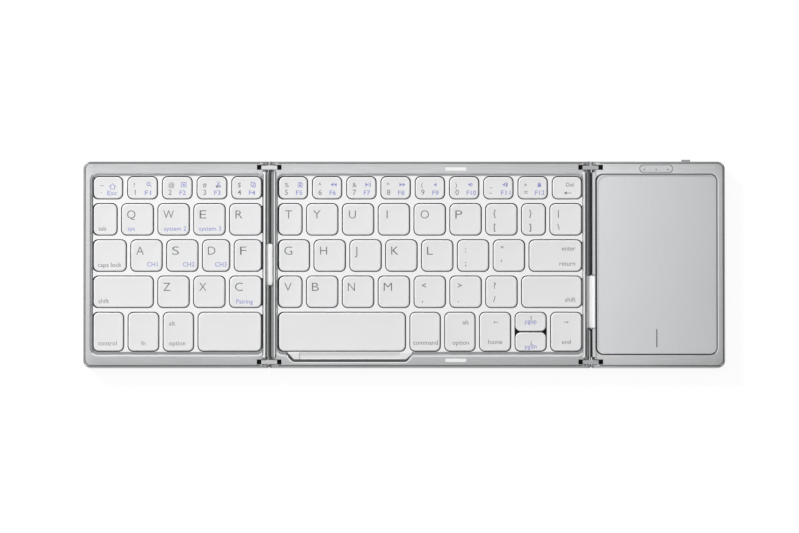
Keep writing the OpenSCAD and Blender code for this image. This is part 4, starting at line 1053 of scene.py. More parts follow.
@dataclass
class Opening:
    """The opening of a panel's frame: lines along its edge, and the sloped wall that leads to the keys.

    lines gives the finish and width of each line of a side, outwards, and walls a side's finish; these
    finishes have the side's light and shade painted in. ledge is how far the wall's foot lies outside the
    keys, where it isn't wall_in.
    """

    side: str
    body: str
    lines: dict[Side, list[tuple[Finish, float]]]
    walls: dict[Side, Finish]
    ledge: dict[Side, float]
    margin_x: float = 0.6 * MM
    margin_y: float = 1.25 * MM
    corner_r: float = 3.0 * MM
    slope: float = 0.35 * MM
    lift: float = 0.012 * MM
    wall_in: float = 0.36 * MM
    wall_r: float = 2.76 * MM
    wall_drops: tuple[float, float, float] = (0.48 * MM, 0.585 * MM, 0.61 * MM)
    tiny: float = 1e-9

    def build(self, block: tuple[float, ...], scoop: Scoop | None = None) -> None:
        """Builds the pieces round a block of keys.

        Args:
            block: left, front, right and rear end of the keys.
            scoop: the thumb scoop in the opening's front edge, if it has one.
        """
        x0, y0, x1, y1 = block
        edge = (x0 - self.margin_x, y0 - self.margin_y, x1 + self.margin_x, y1 + self.margin_y)
        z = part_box(self.side + "_top_frame")[1].z
        outline = self.widened(edge, self.slope, self.corner_r)
        plain = len(outline)
        if scoop:
            outline = scoop.join(outline, edge[1], self.slope)
            scoop.build(self.body, z)
        runs = side_runs(len(outline) - plain)
        away = outward(outline)
        start = scoop.flat if scoop else 0.0
        shift = self.bay_share(outline, edge[1] - self.slope, start)[:, None] * away
        for side, lines in self.lines.items():
            run = runs[side]
            near = outline + shift
            for number, (finish, width) in enumerate(lines):
                far = near + away * width * MM
                if scoop and number == 0 and side is Side.FRONT:
                    far = far - np.minimum(1, shift / (start * away + self.tiny)) * away * width * MM
                shells = Shells()
                add_run(shells, flat_band(near[run], far[run], z + self.lift, z))
                name = f"{self.side}_line_{side.value}_{number}"
                shells.piece(name, self.body, finish, "frame_metal", STRIP_CREASE)
                near = far
        middle = (x0 + x1) / 2
        self.wall(edge, block, scoop.mouth() if scoop else (middle, middle), z)

    @staticmethod
    def bay_share(outline: np.ndarray, y: float, reach: float) -> np.ndarray:
        """How far the line moves out at each point: reach in the bay in front of y, 0 elsewhere."""
        return reach * np.clip((y - outline[:, 1]) / MM, 0, 1)

    @staticmethod
    def widened(edge: tuple[float, ...], out: float, r: float) -> np.ndarray:
        """Outline of a rectangle with round corners, made wider by out on all sides."""
        return rounded_outline(edge[0] - out, edge[1] - out, edge[2] + out, edge[3] + out, r + out)

    def wall(
        self, edge: tuple[float, ...], block: tuple[float, ...], mouth: tuple[float, float], z: float
    ) -> None:
        """Builds the lower part of the sloped wall, from the frame's edge to the holes of the keys.

        Args:
            edge: the frame's opening.
            block: the rectangle of the keys.
            mouth: left and right end of the part of the front edge that has no wall.
            z: height of the frame's face.
        """
        outer = self.widened(edge, 0.0, self.corner_r)
        outs = {side: self.ledge.get(side, self.wall_in) for side in Side}
        inner = rounded_outline(
            block[0] - outs[Side.LEFT], block[1] - outs[Side.FRONT],
            block[2] + outs[Side.RIGHT], block[3] + outs[Side.REAR], self.wall_r
        )
        high, low, foot = (z - drop for drop in self.wall_drops)
        for side, finish in self.walls.items():
            run = side_runs()[side]
            shells = Shells()
            parts = [(run, None, None)]
            if side is Side.FRONT:
                half = CORNER_POINTS // 2 + 1
                parts = [(run[:-half], None, mouth[0]), (run[-half:], mouth[1], None)]
            for numbers, start, stop in parts:
                lines = []
                for line in (outer, inner):
                    points = line[numbers]
                    if start is not None:
                        points = np.concatenate([[[start, points[0, 1]]], points])
                    if stop is not None:
                        points = np.concatenate([points, [[stop, points[-1, 1]]]])
                    lines.append(points)
                far, near = lines
                add_run(shells, section_rings([(far, high), (near, low), (near, foot), (far, foot)]))
            shells.piece(f"{self.side}_wall_{side.value}", self.body, finish, "frame_metal", STRIP_CREASE)


@dataclass
class Scoop:
    """The thumb scoop: a shallow bay in the front edge of the centre panel's opening."""

    x_left: float
    width: float = 52 * MM
    depth: float = 3.25 * MM
    run: float = 4.5 * MM
    steps: int = 16
    flat: float = 0.75 * MM
    inward: float = 0.6 * MM
    drop: float = 0.5 * MM
    foot: float = 1.0 * MM
    lift: float = 0.01 * MM
    margin: float = 1.25 * MM
    least_fade: float = 0.25
    mouth_share: float = 0.25

    def build(self, body: str, z: float) -> None:
        """Builds painted shade along the bay's edge: a band flat on the frame, and then down into the bay.

        Args:
            body: the body that it rides on.
            z: height of the frame's face.
        """
        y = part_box("key_centre_space")[0].y - self.margin
        path = self.path(y, 0.0)
        ahead = steps_along(path)
        away = np.column_stack([ahead[:, 1], -ahead[:, 0]])
        end = self.x_left + 2 * self.run + self.width
        fade = np.clip((end - path[:, 0]) / self.run, self.least_fade, 1)[:, None]
        far, near = path + away * self.flat * fade, path - away * self.inward * fade
        top, foot = z + self.lift, z - self.foot
        bands = {
            "flat": flat_band(path, far, top, z),
            "slope": section_rings([(path, top), (near, z - self.drop), (near, foot), (path, foot)]),
        }
        for name, rings in bands.items():
            shells = Shells()
            add_run(shells, rings)
            shells.piece(f"scoop_{name}", body, SHADE_LINE, "frame_metal", STRIP_CREASE)

    def mouth(self) -> tuple[float, float]:
        """Left and right end of the bay."""
        inside = self.run * self.mouth_share
        return self.x_left + inside, self.x_left + self.width + 2 * self.run - inside

    def join(self, outline: np.ndarray, y: float, start: float) -> np.ndarray:
        """Lets the bay into an outline whose front edge lies start before y, going from left to right.

        Each end falls by depth * (1 - cos(pi t)) / 2 below y while t runs from 0 to 1 over its run; the part
        that falls by less than start is left out.

        Args:
            outline: the opening, anticlockwise, ending at the left end of its front edge.
            y: place of the edge that the bay starts from.
            start: how far the outline's front edge lies before y.

        Returns:
            The outline with the bay.
        """
        return np.concatenate([outline, self.path(y, start)])

    def path(self, y: float, start: float) -> np.ndarray:
        """The bay's own part of the outline, from left to right."""
        t = np.linspace(0, 1, self.steps + 1)
        fall = self.depth * (1 - np.cos(math.pi * t)) / 2
        t, fall = t[fall > start], fall[fall > start]
        down = np.column_stack([self.x_left + self.run * t, y - fall])
        far = self.x_left + 2 * self.run + self.width
        up = np.column_stack([far - self.run * t, y - fall])[::-1]
        return np.concatenate([down, up])


@dataclass
class HingeTrim:
    """Strips of painted highlight and painted shade along a hinge, from the rear slot to the front one.

    bright and shade are distances from the middle of the hinge gap to a strip's inner and outer side.
    """

    side: str
    frame: str
    body: str
    sign: int
    bright: tuple[float, float]
    shade: tuple[float, float] | None = None
    flare: float = 0.7 * MM
    flare_run: float = 2.0 * MM
    slot_in: float = 7.0 * MM
    lift: float = 0.012 * MM
    flare_points: int = 7

    def build(self) -> None:
        """Builds the strips on one side of the gap; sign is -1 on its left and 1 on its right."""
        gap = gap_middle(self.side)
        low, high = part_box(self.frame)
        strips = [("edge", self.bright, RIM_HIGHLIGHT, self.flare)]
        if self.shade:
            strips.append(("shade", self.shade, JOINT_AND_SHADE, 0.0))
        for kind, reach, finish, flare in strips:
            shells = Shells()
            outline = self.outline(gap, reach, low.y, high.y, flare)
            shells.add_plate(outline, high.z - self.lift, high.z + self.lift)
            shells.piece(f"{self.body}_{self.side}_hinge_{kind}", self.body, finish, "frame_metal")

    def outline(
        self, gap: float, reach: tuple[float, float], y0: float, y1: float, flare: float
    ) -> np.ndarray:
        """Outline of a strip that widens at both ends, by flare * (1 - t)^2 over flare_run.

        Args:
            gap: X of the hinge gap's middle.
            reach: distances of its two sides from there, in millimetres.
            y0, y1: front and rear of the frame.
            flare: how much wider its ends are.

        Returns:
            The outline's points.
        """
        inner, outer = (r * MM for r in reach)
        t = np.linspace(0, 1, self.flare_points)
        far = outer + flare * (1 - t) ** 2
        front = np.column_stack([gap + self.sign * far, y0 + self.slot_in - self.flare_run * (1 - t)])
        rear = np.column_stack([gap + self.sign * far, y1 - self.slot_in + self.flare_run * (1 - t)])[::-1]
        back = np.array([[gap + self.sign * inner, rear[-1, 1]], [gap + self.sign * inner, front[0, 1]]])
        return np.concatenate([front, rear, back])


HINGE_TRIMS = [
    HingeTrim("left", "left_top_frame", "left_wing", -1, (1.9, 2.62)),
    HingeTrim("left", "centre_top_frame", "centre", 1, (2.28, 2.72), (2.73, 3.38)),
    HingeTrim("right", "centre_top_frame", "centre", -1, (2.78, 3.4), (2.12, 2.77)),
]


@dataclass
class Nose:
    """A strip along the tip of a hinge rail, in two lengths that leave the ribbon's sleeve free.

    profile holds the corners of its section: distance from the pin's axis towards the gap, and height
    over the axis, in millimetres.
    """

    side: str
    body: str
    sign: int
    profile: Pairs
    finish: Finish = NOSE_METAL
    beside_sleeve: bool = False
    pin: float = 3.85 * MM
    slot_in: float = 5.2 * MM
    sleeve_gap: float = 0.5 * MM
    crease: float = 25.0

    def build(self) -> None:
        """Builds the strip; sign is -1 on the gap's left and 1 on its right."""
        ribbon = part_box(self.side + "_ribbon")
        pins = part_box(self.side + "_hinge_pins")
        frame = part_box("centre_top_frame")
        axis_x, axis_z = gap_middle(self.side) + self.sign * self.pin, (pins[0].z + pins[1].z) / 2
        section = np.array(self.profile) * MM
        shells = Shells()
        ends = [(frame[0].y + self.slot_in, ribbon[0].y - self.sleeve_gap)]
        ends += [(ribbon[1].y + self.sleeve_gap, frame[1].y - self.slot_in)]
        if self.beside_sleeve:
            ends = [(ribbon[0].y, ribbon[1].y)]
        for span in ends:
            add_run(shells, cross_rings(axis_x - self.sign * section[:, 0], span, axis_z + section[:, 1]))
        name = f"{self.body}_{self.side}_{self.finish.name}"
        shells.piece(name, self.body, self.finish, "rail_metal", self.crease)


LONG_BEAD = ((2.6, 1.7), (2.74, 2.62), (3.25, 2.5), (3.52, 2.2), (3.68, 1.4), (3.73, 0.3))
LONG_BEAD += ((3.5, -0.5), (3.0, -0.7))
LONG_NOSE = ((1.5, 2.8), (1.6, 3.2), (2.2, 3.05), (2.7, 2.7), (3.05, 2.2), (3.2, 1.5), (3.3, 0.9), (3.3, 0.0))
LONG_NOSE += ((3.1, -0.6), (2.8, -0.8))
LONG_TIP = ((3.1, 0.5), (3.12, 2.05), (3.5, 1.9), (3.75, 1.3), (3.88, 0.4), (3.8, -0.4), (3.3, -0.6))
BRIGHT_EDGE = ((1.5, 3.1), (1.6, 3.23), (2.2, 3.09), (2.72, 2.73), (2.6, 2.6))
SHORT_BEAD = ((2.0, 1.9), (2.08, 2.95), (2.4, 2.92), (2.7, 2.7), (2.95, 2.2), (3.2, 1.2))
SHORT_BEAD += ((3.32, 0.3), (3.0, -0.5))
SHORT_NOSE = ((1.5, 2.8), (1.6, 3.22), (2.1, 3.1), (2.6, 2.75), (2.9, 2.3), (2.98, 1.4))
SHORT_NOSE += ((3.0, 0.4), (2.7, -0.5))
SHORT_TIP = ((2.8, 0.5), (2.92, 2.1), (3.15, 1.6), (3.3, 0.9), (3.35, 0.3), (3.2, -0.4), (2.9, -0.5))
LEFT_LIP = ((1.95, 2.4), (2.0, 2.72), (2.4, 2.5), (2.75, 2.1), (3.0, 1.6), (2.8, 1.3))
RIGHT_LIP = ((1.7, 2.5), (1.75, 3.3), (2.2, 3.2), (2.6, 2.9), (2.95, 2.3), (3.1, 1.6), (2.8, 1.3))
# Strips on the rails' tips, with painted light and shade: a soft painted highlight, pale and shaded copies of
# the nose metal, black painted shade along the gap, and the lips beside the sleeve in its rubber and a shaded
# copy
SOFT_RIM_HIGHLIGHT = replace(RIM_HIGHLIGHT, name="satin_rim", colour="CCCDCE")
SLEEVE_SHADE = replace(SLEEVE_RUBBER, name="grey_sleeve", colour="E4E5E7")
NOSE_HIGHLIGHT = replace(NOSE_METAL, name="pale_nose", colour="DDDFE0")
NOSE_SHADE = replace(NOSE_METAL, name="nose_painted_shade", colour="8E9192")
NOSES = [
    Nose("left", "left_wing", -1, LONG_BEAD, NOSE_HIGHLIGHT),
    Nose("left", "centre", 1, SHORT_NOSE, NOSE_SHADE),
    Nose("left", "centre", 1, SHORT_TIP, DEEP_SHADE),
    Nose("right", "centre", -1, SHORT_BEAD),
    Nose("right", "right_wing", 1, LONG_NOSE),
    Nose("right", "right_wing", 1, LONG_TIP, DEEP_SHADE),
    Nose("right", "right_wing", 1, BRIGHT_EDGE, SOFT_RIM_HIGHLIGHT),
    Nose("right", "centre", -1, LEFT_LIP, SLEEVE_RUBBER, True),
    Nose("right", "right_wing", 1, RIGHT_LIP, SLEEVE_SHADE, True),
]


@dataclass
class LinkEndShades:
    """Painted shade on a hinge's link ends, about the pins: black half discs a hair larger than the link."""

    side: str
    pin: float = 3.85 * MM
    r: float = 1.77 * MM
    half_width: float = 0.97 * MM
    start: float = 0.12 * MM
    proud: float = 0.02 * MM
    turn_points: int = 13
    crease: float = 40.0

    def build(self) -> None:
        """Builds the four ends as one piece that rides on the link."""
        low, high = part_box(self.side + "_links")
        middle, axis = (low.x + high.x) / 2, (low.z + high.z) / 2
        turn = np.linspace(math.pi / 2, -math.pi / 2, self.turn_points)
        section = np.column_stack([np.cos(turn), np.sin(turn)]) * self.r
        section = np.concatenate([[[-self.start, self.r]], section, [[-self.start, -self.r]]])
        shells = Shells()
        for y in (low.y + self.half_width - self.proud, high.y - self.half_width + self.proud):
            for sign in (-1, 1):
                x = middle + sign * (self.pin + section[:, 0])
                span = (y - self.half_width, y + self.half_width)
                add_run(shells, cross_rings(x, span, axis + section[:, 1]))
        shells.piece(f"{self.side}_link_ends", f"{self.side}_link", DEEP_SHADE, "link_metal", self.crease)


@dataclass
class PadTrim:
    """Groove round the touchpad: a line of painted shade on the frame, a painted highlight at its right, and
    pad colour up to it over the gap.

    The four distances are how far a line lies outside the plate at its left, front, right and rear.
    """

    cover: tuple[float, ...] = (-0.05, -0.05, -0.05, -0.05)
    inner: tuple[float, ...] = (0.3, 0.0, 0.05, 0.22)
    outer: tuple[float, ...] = (1.15, 0.6, 0.75, 0.95)
    bright: tuple[float, ...] = (1.16, 0.85, 1.15, 0.97)
    radii: tuple[float, ...] = (4.35, 3.0, 3.6, 3.9)
    lift: float = 0.012 * MM
    mark_width: float = 0.38 * MM
    mark_y: tuple[float, float] = (3.05 * MM, 11.7 * MM)
    mark_left: float = 0.13 * MM

    def build(self, low: Vector, high: Vector, z: float) -> None:
        """Builds the trim.

        Args:
            low, high: corners of the touchpad plate, without its tongues.
            z: height of the frame's face.
        """
        cover, inner, outer, bright = (
            rounded_outline(low.x - a * MM, low.y - b * MM, high.x + c * MM, high.y + d * MM, r * MM)
            for (a, b, c, d), r in zip((self.cover, self.inner, self.outer, self.bright), self.radii)
        )
        fill = Shells()
        fill.add_loop(self.band(cover, inner, z))
        fill.piece("touchpad_border", "right_wing", PAD_SURFACE, "frame_metal", STRIP_CREASE)
        # Painted shade in the groove: black at the left and front, grey at the right and rear; the rim at the
        # right is a painted highlight
        deep = {Side.LEFT: BLACK_SHADE, Side.FRONT: BLACK_SHADE, Side.RIGHT: JOINT_AND_SHADE, Side.REAR: JOINT_AND_SHADE}
        strips = [
            (f"touchpad_groove_{side.value}", self.band(inner, outer, z)[run], deep[side])
            for side, run in side_runs().items()
        ]
        strips.append(("touchpad_rim", self.band(outer, bright, z)[side_runs()[Side.RIGHT]], RIM_HIGHLIGHT))
        for name, rings, finish in strips:
            shells = Shells()
            add_run(shells, rings)
            shells.piece(name, "right_wing", finish, "frame_metal", STRIP_CREASE)
        # The short mark near the pad's front: a black plate of painted shade
        x = (low.x + high.x) / 2 - self.mark_left
        half = self.mark_width / 2
        y0, y1 = (low.y + y for y in self.mark_y)
        mark = Shells()
        outline = np.array(rectangle(x - half, y0, x + half, y1))
        mark.add_plate(outline, high.z - self.lift, high.z + self.lift / 2)
        mark.piece("touchpad_mark", "touchpad", BLACK_SHADE, "pad_surface", STRIP_CREASE)

    def band(self, near: np.ndarray, far: np.ndarray, z: float) -> np.ndarray:
        """Rings of a thin band between two outlines."""
        return flat_band(near, far, z + self.lift, z - self.lift)


@dataclass
class WindowTrim:
    """The fine line round the indicator window, and the three lights under its holes."""

    width: float = 0.26 * MM
    lift: float = 0.01 * MM
    pitch: float = 5.6 * MM
    r: float = 0.42 * MM
    light_y: float = -0.55 * MM
    light_drops: tuple[float, float] = (0.5 * MM, 0.08 * MM)
    light_points: int = 16
    tuck: float = 0.01 * MM
    crease: float = 40.0

    def build(self) -> None:
        """Builds the line and the lights."""
        low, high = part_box("indicator_window")
        r, out = (high.y - low.y) / 2, self.width
        near = rounded_outline(low.x, low.y, high.x, high.y, r - self.tuck)
        far = rounded_outline(low.x - out, low.y - out, high.x + out, high.y + out, r)
        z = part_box("right_top_frame")[1].z
        line = Shells()
        line.add_loop(flat_band(near, far, z + self.lift, z - self.lift))
        line.piece("window_line", "right_wing", JOINT_AND_SHADE, "frame_metal", STRIP_CREASE)
        turn = np.linspace(0, 2 * math.pi, self.light_points, endpoint=False)
        lights = Shells()
        x, y = (low.x + high.x) / 2, (low.y + high.y) / 2 + self.light_y
        for n in (-1, 0, 1):
            outline = np.column_stack([x + n * self.pitch + self.r * np.cos(turn), y + self.r * np.sin(turn)])
            lights.add_plate(outline, high.z - self.light_drops[0], high.z - self.light_drops[1])
        lights.piece("indicator_lights", "right_wing", LIGHT_LENS, "window_plastic", self.crease)


@dataclass
class KeyShades:
    """Black strips of painted shade beside the keys at an end of a panel's block, bent up where the
    opening's wall begins.
    """

    name: str
    body: str
    near: float = 0.5 * MM
    short: float = 0.9 * MM
    thick: float = 0.015 * MM

    def build(self, keys: list[Key], end: float, right: bool, profile: Pairs, z: float) -> None:
        """Builds one strip for each key that ends at the block's end.

        Args:
            keys: all keys of the panel.
            end: X of the block's end.
            right: whether that is its right end.
            profile: a strip's upper side: distance outside the end and depth under z, in millimetres.
            z: height of the frame's face.
        """
        shells = Shells()
        sign = 1 if right else -1
        section = [(end + sign * out * MM, z - down * MM) for out, down in profile]
        section += [(out, height - self.thick) for out, height in reversed(section)]
        x, height = np.array(section).T
        for key in keys:
            if abs((key.x1 if right else key.x0) - end) < self.near:
                add_run(shells, cross_rings(x, (key.y0 + self.short, key.y1 - self.short), height))
        shells.piece(self.name, self.body, DEEP_SHADE, "deck_plastic", STRIP_CREASE)


@dataclass
class EdgeLine:
    """Fine line of painted shade and dark reflection along the frames' outer edges, inside their rounding."""

    inset: float = 1.02 * MM
    shift: float = 0.15 * MM
    width: float = 0.32 * MM
    lift: float = 0.008 * MM
    corner_r: float = 3.8 * MM
    steps: int = 8
    end: float = 3.9 * MM

    def build(self, side: str, body: str) -> None:
        """Builds the line of one panel: a strip along an open path, straight but for the outer corners."""
        low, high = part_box(side + "_top_frame")
        sign = {"left": -1, "right": 1, "centre": 0}[side]
        for part, way in (("rear", 1), ("front", -1)) if sign == 0 else (("outer", 0),):
            if way:
                y = (high.y if way > 0 else low.y) - way * self.inset
                path = np.array([[low.x + self.end, y], [high.x - self.end, y]])
            else:
                path = self.corners(low, high, sign)
            path[:, 1] += self.shift
            self.strip(path, high.z).piece(f"{side}_edge_line_{part}", body, SHADE_LINE, "frame_metal")

    def corners(self, low: Vector, high: Vector, sign: int) -> np.ndarray:
        """Path round a wing's outer end: along the rear, two quarter circles, and back along the front."""
        r = self.corner_r - self.inset
        edge = (low.x if sign < 0 else high.x) - sign * (self.inset + r)
        inner = high.x - self.end if sign < 0 else low.x + self.end
        turn = np.linspace(0, math.pi / 2, self.steps + 1)
        rear_y, front_y = high.y - self.inset - r, low.y + self.inset + r
        rear = np.column_stack([edge + sign * r * np.sin(turn), rear_y + r * np.cos(turn)])
        front = np.column_stack([edge + sign * r * np.cos(turn), front_y - r * np.sin(turn)])
        return np.concatenate([[[inner, rear_y + r]], rear, front, [[inner, front_y - r]]])

    def strip(self, path: np.ndarray, z: float) -> Shells:
        """A thin strip of the line's width along the path, as one plate."""
        ahead = steps_along(path)
        side = np.column_stack([-ahead[:, 1], ahead[:, 0]]) * self.width / 2
        shells = Shells()
        shells.add_plate(np.concatenate([path + side, (path - side)[::-1]]), z - self.lift, z + self.lift)
        return shells


@dataclass
class Sleeve:
    """The soft sleeve over the ribbon cable of one hinge, in two halves.

    At both ends its upper side falls by end_fall of the thickness, over one part in end_parts of the length.
    """

    side: str
    wing: str
    link: str
    shift: float = 0.0
    half_width: float = 1.35 * MM
    crown_r: float = 9 * MM
    across: int = 10
    along: int = 24
    end_r: float = 0.6 * MM
    end_fall: float = 0.25
    end_parts: int = 12
    crease: float = 50.0

    def build(self) -> None:
        """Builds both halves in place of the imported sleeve."""
        low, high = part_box(self.side + "_ribbon")
        middle = gap_middle(self.side) + self.shift
        half = self.half_width
        away = -1 if self.side == "left" else 1
        for name, body, sign in (("outer", self.wing, away), ("inner", "centre", -away)):
            shells = Shells()
            self.half(shells, middle, sign * half, low, high)
            piece = shells.piece(f"{self.side}_sleeve_{name}", "", SLEEVE_RUBBER, "sleeve", self.crease)
            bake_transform(piece)
            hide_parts(self.side + "_ribbon")

    def half(self, shells: Shells, middle: float, reach: float, low: Vector, high: Vector) -> None:
        """Adds one half: rings across the hinge, from the middle of the gap outwards.

        Each ring is a flat loop along the sleeve, whose upper line follows a circle of crown_r and whose
        ends are rounded by an ellipse.

        Args:
            shells: the piece.
            middle: X of the gap's middle.
            reach: half the sleeve's width, with the sign of its side.
            low, high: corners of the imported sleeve.
        """
        thick = high.z - low.z
        steps = np.linspace(0, 1, self.along + 1)
        share = np.clip(np.minimum(steps, 1 - steps) * self.end_parts, 0, 1)
        fall = self.end_fall * thick * (1 - share) ** 2
        rings = []
        for t in np.linspace(0, 1, self.across + 1):
            x = middle + reach * t
            out = max(abs(reach) * t - (abs(reach) - self.end_r), 0)
            shrink = self.end_r - math.sqrt(max(self.end_r**2 - out**2, 0))
            y0, y1 = low.y + shrink, high.y - shrink
            top = high.z - (self.crown_r - math.sqrt(self.crown_r**2 - (x - middle) ** 2))
            level, y = np.full_like(steps, x), y0 + (y1 - y0) * steps
            upper = np.column_stack([level, y, top - fall])
            lower = np.column_stack([level, y, np.full_like(steps, low.z)])[::-1]
            rings.append(np.concatenate([upper, lower]))
        add_run(shells, np.array(rings))


@dataclass(frozen=True)
class Lamp:
    """A soft lamp of a given width and depth that faces a target; metal shows it where mirrored is set."""

    name: str
    place: tuple[float, float, float]
    size: tuple[float, float]
    power: float
    target: tuple[float, float, float]
    mirrored: bool = True

    def build(self) -> None:
        """Puts the lamp into the scene."""
        data = bpy.data.lights.new(self.name, "AREA")
        data.shape = "RECTANGLE"
        data.size, data.size_y = self.size
        data.energy = self.power
        lamp = put(self.name, data)
        lamp.visible_glossy = self.mirrored
        lamp.location = self.place
        lamp.rotation_euler = (Vector(self.target) - Vector(self.place)).to_track_quat("-Z", "Y").to_euler()


LAMPS = [
    Lamp("key_light", (-1.84, 1.84, 1.36), (0.5, 0.5), 92.0, (0, 0, 0), mirrored=False),
    Lamp("overhead_panel", (-0.25, 0.34, 0.8), (1.0, 0.55), 1.9, (-0.25, 0.34, 0)),
]


@dataclass
class Studio:
    """Floor, light and camera, at the photograph's view from above.

    low, ring and high are the world's strength near the horizon, above it and overhead, and low_edge and
    high_edge the heights between which one goes over into the next. gaps, gap_reach and gap_end give the
    strips of floor under the hinge gaps, and seen_gap the part of the right one that glows: X of its middle,
    half its width, and the Y that it lies in front of.
    """

    width_px: int = 799
    mm_per_px: float = 0.4742
    look_at: tuple[float, float, float] = (-2.19 * MM, -1.42 * MM, 7.6 * MM)
    tilt_deg: float = 2.5
    distance: float = 3.0
    sensor: float = 36.0
    clip_end: float = 20.0
    floor_half: float = 6.0
    floor_colour: str = "6E6E6E"
    floor_glow: float = 0.91
    gaps: tuple[float, float] = (-63.8 * MM, 88.2 * MM)
    gap_reach: float = 0.7 * MM
    gap_gain: float = 2.5
    mirrored_share: float = 0.5
    gap_end: float = 49 * MM
    seen_gap: tuple[float, float, float] = (88.08 * MM, 0.2 * MM, -31.5 * MM)
    low: float = 0.55
    ring: float = 0.1
    high: float = 0.3
    low_edge: tuple[float, float] = (0.5, 0.64)
    high_edge: tuple[float, float] = (0.9, 0.95)

    def build(self) -> None:
        """Builds everything that isn't part of the object."""
        self.camera()
        self.world()
        for lamp in LAMPS:
            lamp.build()
        self.floor()
    def camera(self) -> None:
        """Puts the camera over the keyboard, leaning a little towards its front edge."""
        data = bpy.data.cameras.new("camera")
        data.sensor_width = self.sensor
        data.lens = self.sensor * self.distance / (self.width_px * self.mm_per_px * MM)
        data.clip_end = self.clip_end
        camera = put("camera", data)
        tilt = math.radians(self.tilt_deg)
        target = Vector(self.look_at)
        camera.location = target + self.distance * Vector((0, -math.sin(tilt), math.cos(tilt)))
        camera.rotation_euler = (tilt, 0, 0)
        bpy.context.scene.camera = camera

    def world(self) -> None:
        """Plain soft light from all sides; where the camera sees it, it is white."""
        world = bpy.data.worlds.new("world")
        bpy.context.scene.world = world
        tree = cleared(world)
        path = add_node(tree, "ShaderNodeLightPath")
        height = axes(tree, add_node(tree, "ShaderNodeTexCoord").outputs["Generated"])["Z"]
        low = ramp(tree, height, self.low_edge, (self.low, self.ring))
        high = ramp(tree, height, self.high_edge, (0.0, self.high))
        lit = math_node(tree, "ADD", low, high)
        strength = ramp(tree, path.outputs["Is Camera Ray"], (0.0, 1.0), (lit, 1.0))
        light = add_node(tree, "ShaderNodeBackground", Color=(1, 1, 1, 1), Strength=strength)
        add_node(tree, "ShaderNodeOutputWorld", Surface=light.outputs[0])

    def floor(self) -> None:
        """A floor that keeps the object's shadow and glows for the camera, and less for glossy rays.

        It doesn't glow under the hinge gaps, which the photograph shows black but for part of the right one.
        """
        half = self.floor_half
        mesh = bpy.data.meshes.new("floor")
        corners = [(x, y, 0) for x, y in rectangle(-half, -half, half, half)]
        mesh.from_pydata(corners, [], [(0, 1, 2, 3)])
        put("floor", mesh)
        material = bpy.data.materials.new("floor")
        tree = cleared(material)
        path = add_node(tree, "ShaderNodeLightPath")
        spot = axes(tree, add_node(tree, "ShaderNodeTexCoord").outputs["Object"])
        calc = partial(math_node, tree)
        along = calc("LESS_THAN", calc("ABSOLUTE", spot["Y"]), self.gap_end)
        near = [calc("COMPARE", spot["X"], gap, self.gap_reach) for gap in self.gaps]
        dark = calc("MULTIPLY", along, calc("ADD", *near))
        middle, width, front = self.seen_gap
        inside = calc("COMPARE", spot["X"], middle, width)
        inside = calc("MULTIPLY", inside, calc("LESS_THAN", spot["Y"], front))
        bare = calc("MAXIMUM", calc("SUBTRACT", 1.0, dark), inside)
        mirrored = calc("MULTIPLY", path.outputs["Is Glossy Ray"], self.mirrored_share)
        mirrored = calc("MAXIMUM", mirrored, path.outputs["Is Camera Ray"])
        glow = calc("MULTIPLY", calc("MULTIPLY", mirrored, bare), self.floor_glow)
        colour = scaled(tree, self.floor_colour, calc("MULTIPLY_ADD", dark, self.gap_gain, 1.0))
        paint = add_node(tree, "ShaderNodeBsdfDiffuse", Color=colour)
        light = add_node(tree, "ShaderNodeEmission", Color=(1, 1, 1, 1), Strength=glow)
        both = add_node(tree, "ShaderNodeAddShader", _0=paint.outputs[0], _1=light.outputs[0])
        add_node(tree, "ShaderNodeOutputMaterial", Surface=both.outputs[0])
        mesh.materials.append(material)


# Lines along the openings, with their light and shade painted in: lit strips at the front and rear, a painted
# highlight at the front, and painted shade at the left wing's left side
CENTRE_LINES = {Side.FRONT: [(SLOPE_LIT, 0.42), (RIM_HIGHLIGHT, 0.5)], Side.REAR: [(SLOPE_LIT, 0.35)]}
LEFT_LINES = CENTRE_LINES | {Side.LEFT: [(SLOPE_DARK, 0.55)]}
# Sections of the black strips of painted shade beside the keys, by the end of the block: True is its right
# end
SHADES: dict[str, dict[bool, Pairs]] = {
    "left": {True: ((-0.25, 0.575), (0.36, 0.56), (0.6, 0.455), (0.8, 0.17))},
    "centre": {True: ((-0.25, 0.575), (0.34, 0.56)), False: ((-0.4, 0.575), (0.08, 0.575))},
}


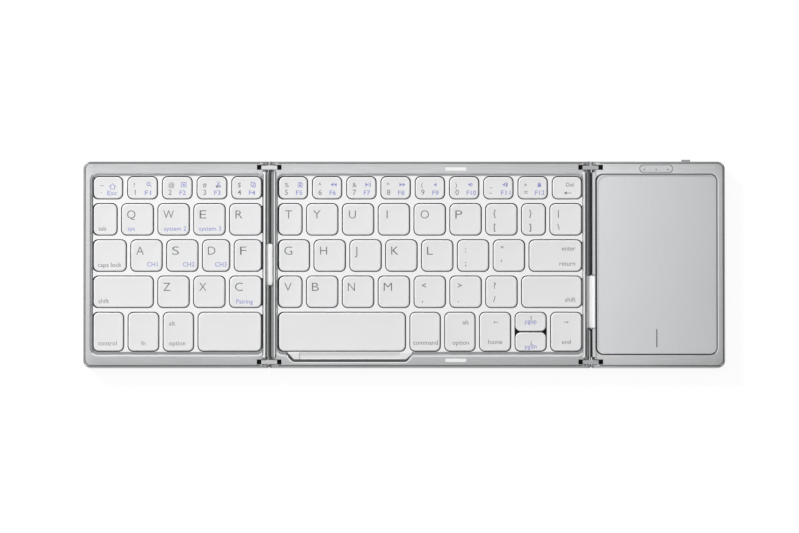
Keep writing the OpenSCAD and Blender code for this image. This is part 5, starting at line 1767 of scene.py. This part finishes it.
@dataclass
class Keyboard:
    """The whole object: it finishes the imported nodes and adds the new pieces."""

    nodes: dict[str, bpy.types.Object]

    def build(self) -> None:
        """Builds every piece."""
        self.finish_nodes()
        self.keys()
        Sleeve("left", "left_wing", "left_link", 0.25 * MM).build()
        Sleeve("right", "right_wing", "right_link", -0.2 * MM, 1.7 * MM).build()
        for part in [*HINGE_TRIMS, *NOSES, LinkEndShades("left"), LinkEndShades("right"), WindowTrim()]:
            part.build()
        low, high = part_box("touchpad_plate")
        high.y -= 2 * PAD_TONGUE
        PadTrim().build(low, high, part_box("right_top_frame")[1].z)
        for side, body in (("left", "left_wing"), ("centre", "centre"), ("right", "right_wing")):
            EdgeLine().build(side, body)

    def keys(self) -> None:
        """Builds the keys of both panels and what lies round each block."""
        left = [name for name in self.nodes if name.startswith("key_left")]
        left += ["key_escape", "key_tab", "key_caps_lock"]
        centre = [name for name in self.nodes if name.startswith("key_") and name not in left]
        scoop = Scoop(x_left=gap_middle("left") + SCOOP_FROM_GAP)
        # Walls of the openings, a copy for each side with its light and shade painted in: lit at the rear,
        # shaded at the front and right, darker at the left wing's left side
        left_walls = {Side.FRONT: SLOPE, Side.REAR: SLOPE_LIT, Side.LEFT: SLOPE_DARK, Side.RIGHT: SLOPE}
        panels = [
            (left, Opening("left", "left_wing", LEFT_LINES, left_walls, {Side.LEFT: 0.0}), None),
            (centre, Opening("centre", "centre", CENTRE_LINES, left_walls | {Side.LEFT: SLOPE}, {}), scoop),
        ]
        for names, opening, bay in panels:
            boxes = [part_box(name) for name in names]
            block = tuple(min(low[axis] for low, _ in boxes) for axis in (0, 1))
            block += tuple(max(high[axis] for _, high in boxes) for axis in (0, 1))
            keys: list[Key] = []
            for name in names:
                keys += KeyBlock(name, name).build(self.nodes[name], (block[0], block[2]))
            opening.build(block, bay)
            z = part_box(opening.side + "_top_frame")[1].z
            for right, profile in SHADES[opening.side].items():
                name = f"{opening.side}_shades_{'right' if right else 'left'}"
                end = block[2] if right else block[0]
                KeyShades(name, opening.body).build(keys, end, right, profile, z)

    def finish_nodes(self) -> None:
        """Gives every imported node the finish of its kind."""
        for name, node in self.nodes.items():
            if name.startswith("key_"):
                continue
            kind = name if name in NODE_FINISHES else name.split("_", 1)[1]
            node.material_slots[0].material = NODE_FINISHES[kind].build()
            LOG.info("%s: %s", name, NODE_FINISHES[kind].name)


def main() -> None:
    """Builds the scene in order: model, keyboard, studio."""
    logging.basicConfig(level=logging.INFO, format="%(name)s: %(message)s")
    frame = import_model()
    bpy.context.scene.view_settings.view_transform = "Standard"
    Keyboard(frame["nodes"]).build()
    Studio().build()


if __name__ == "__main__":
    main()
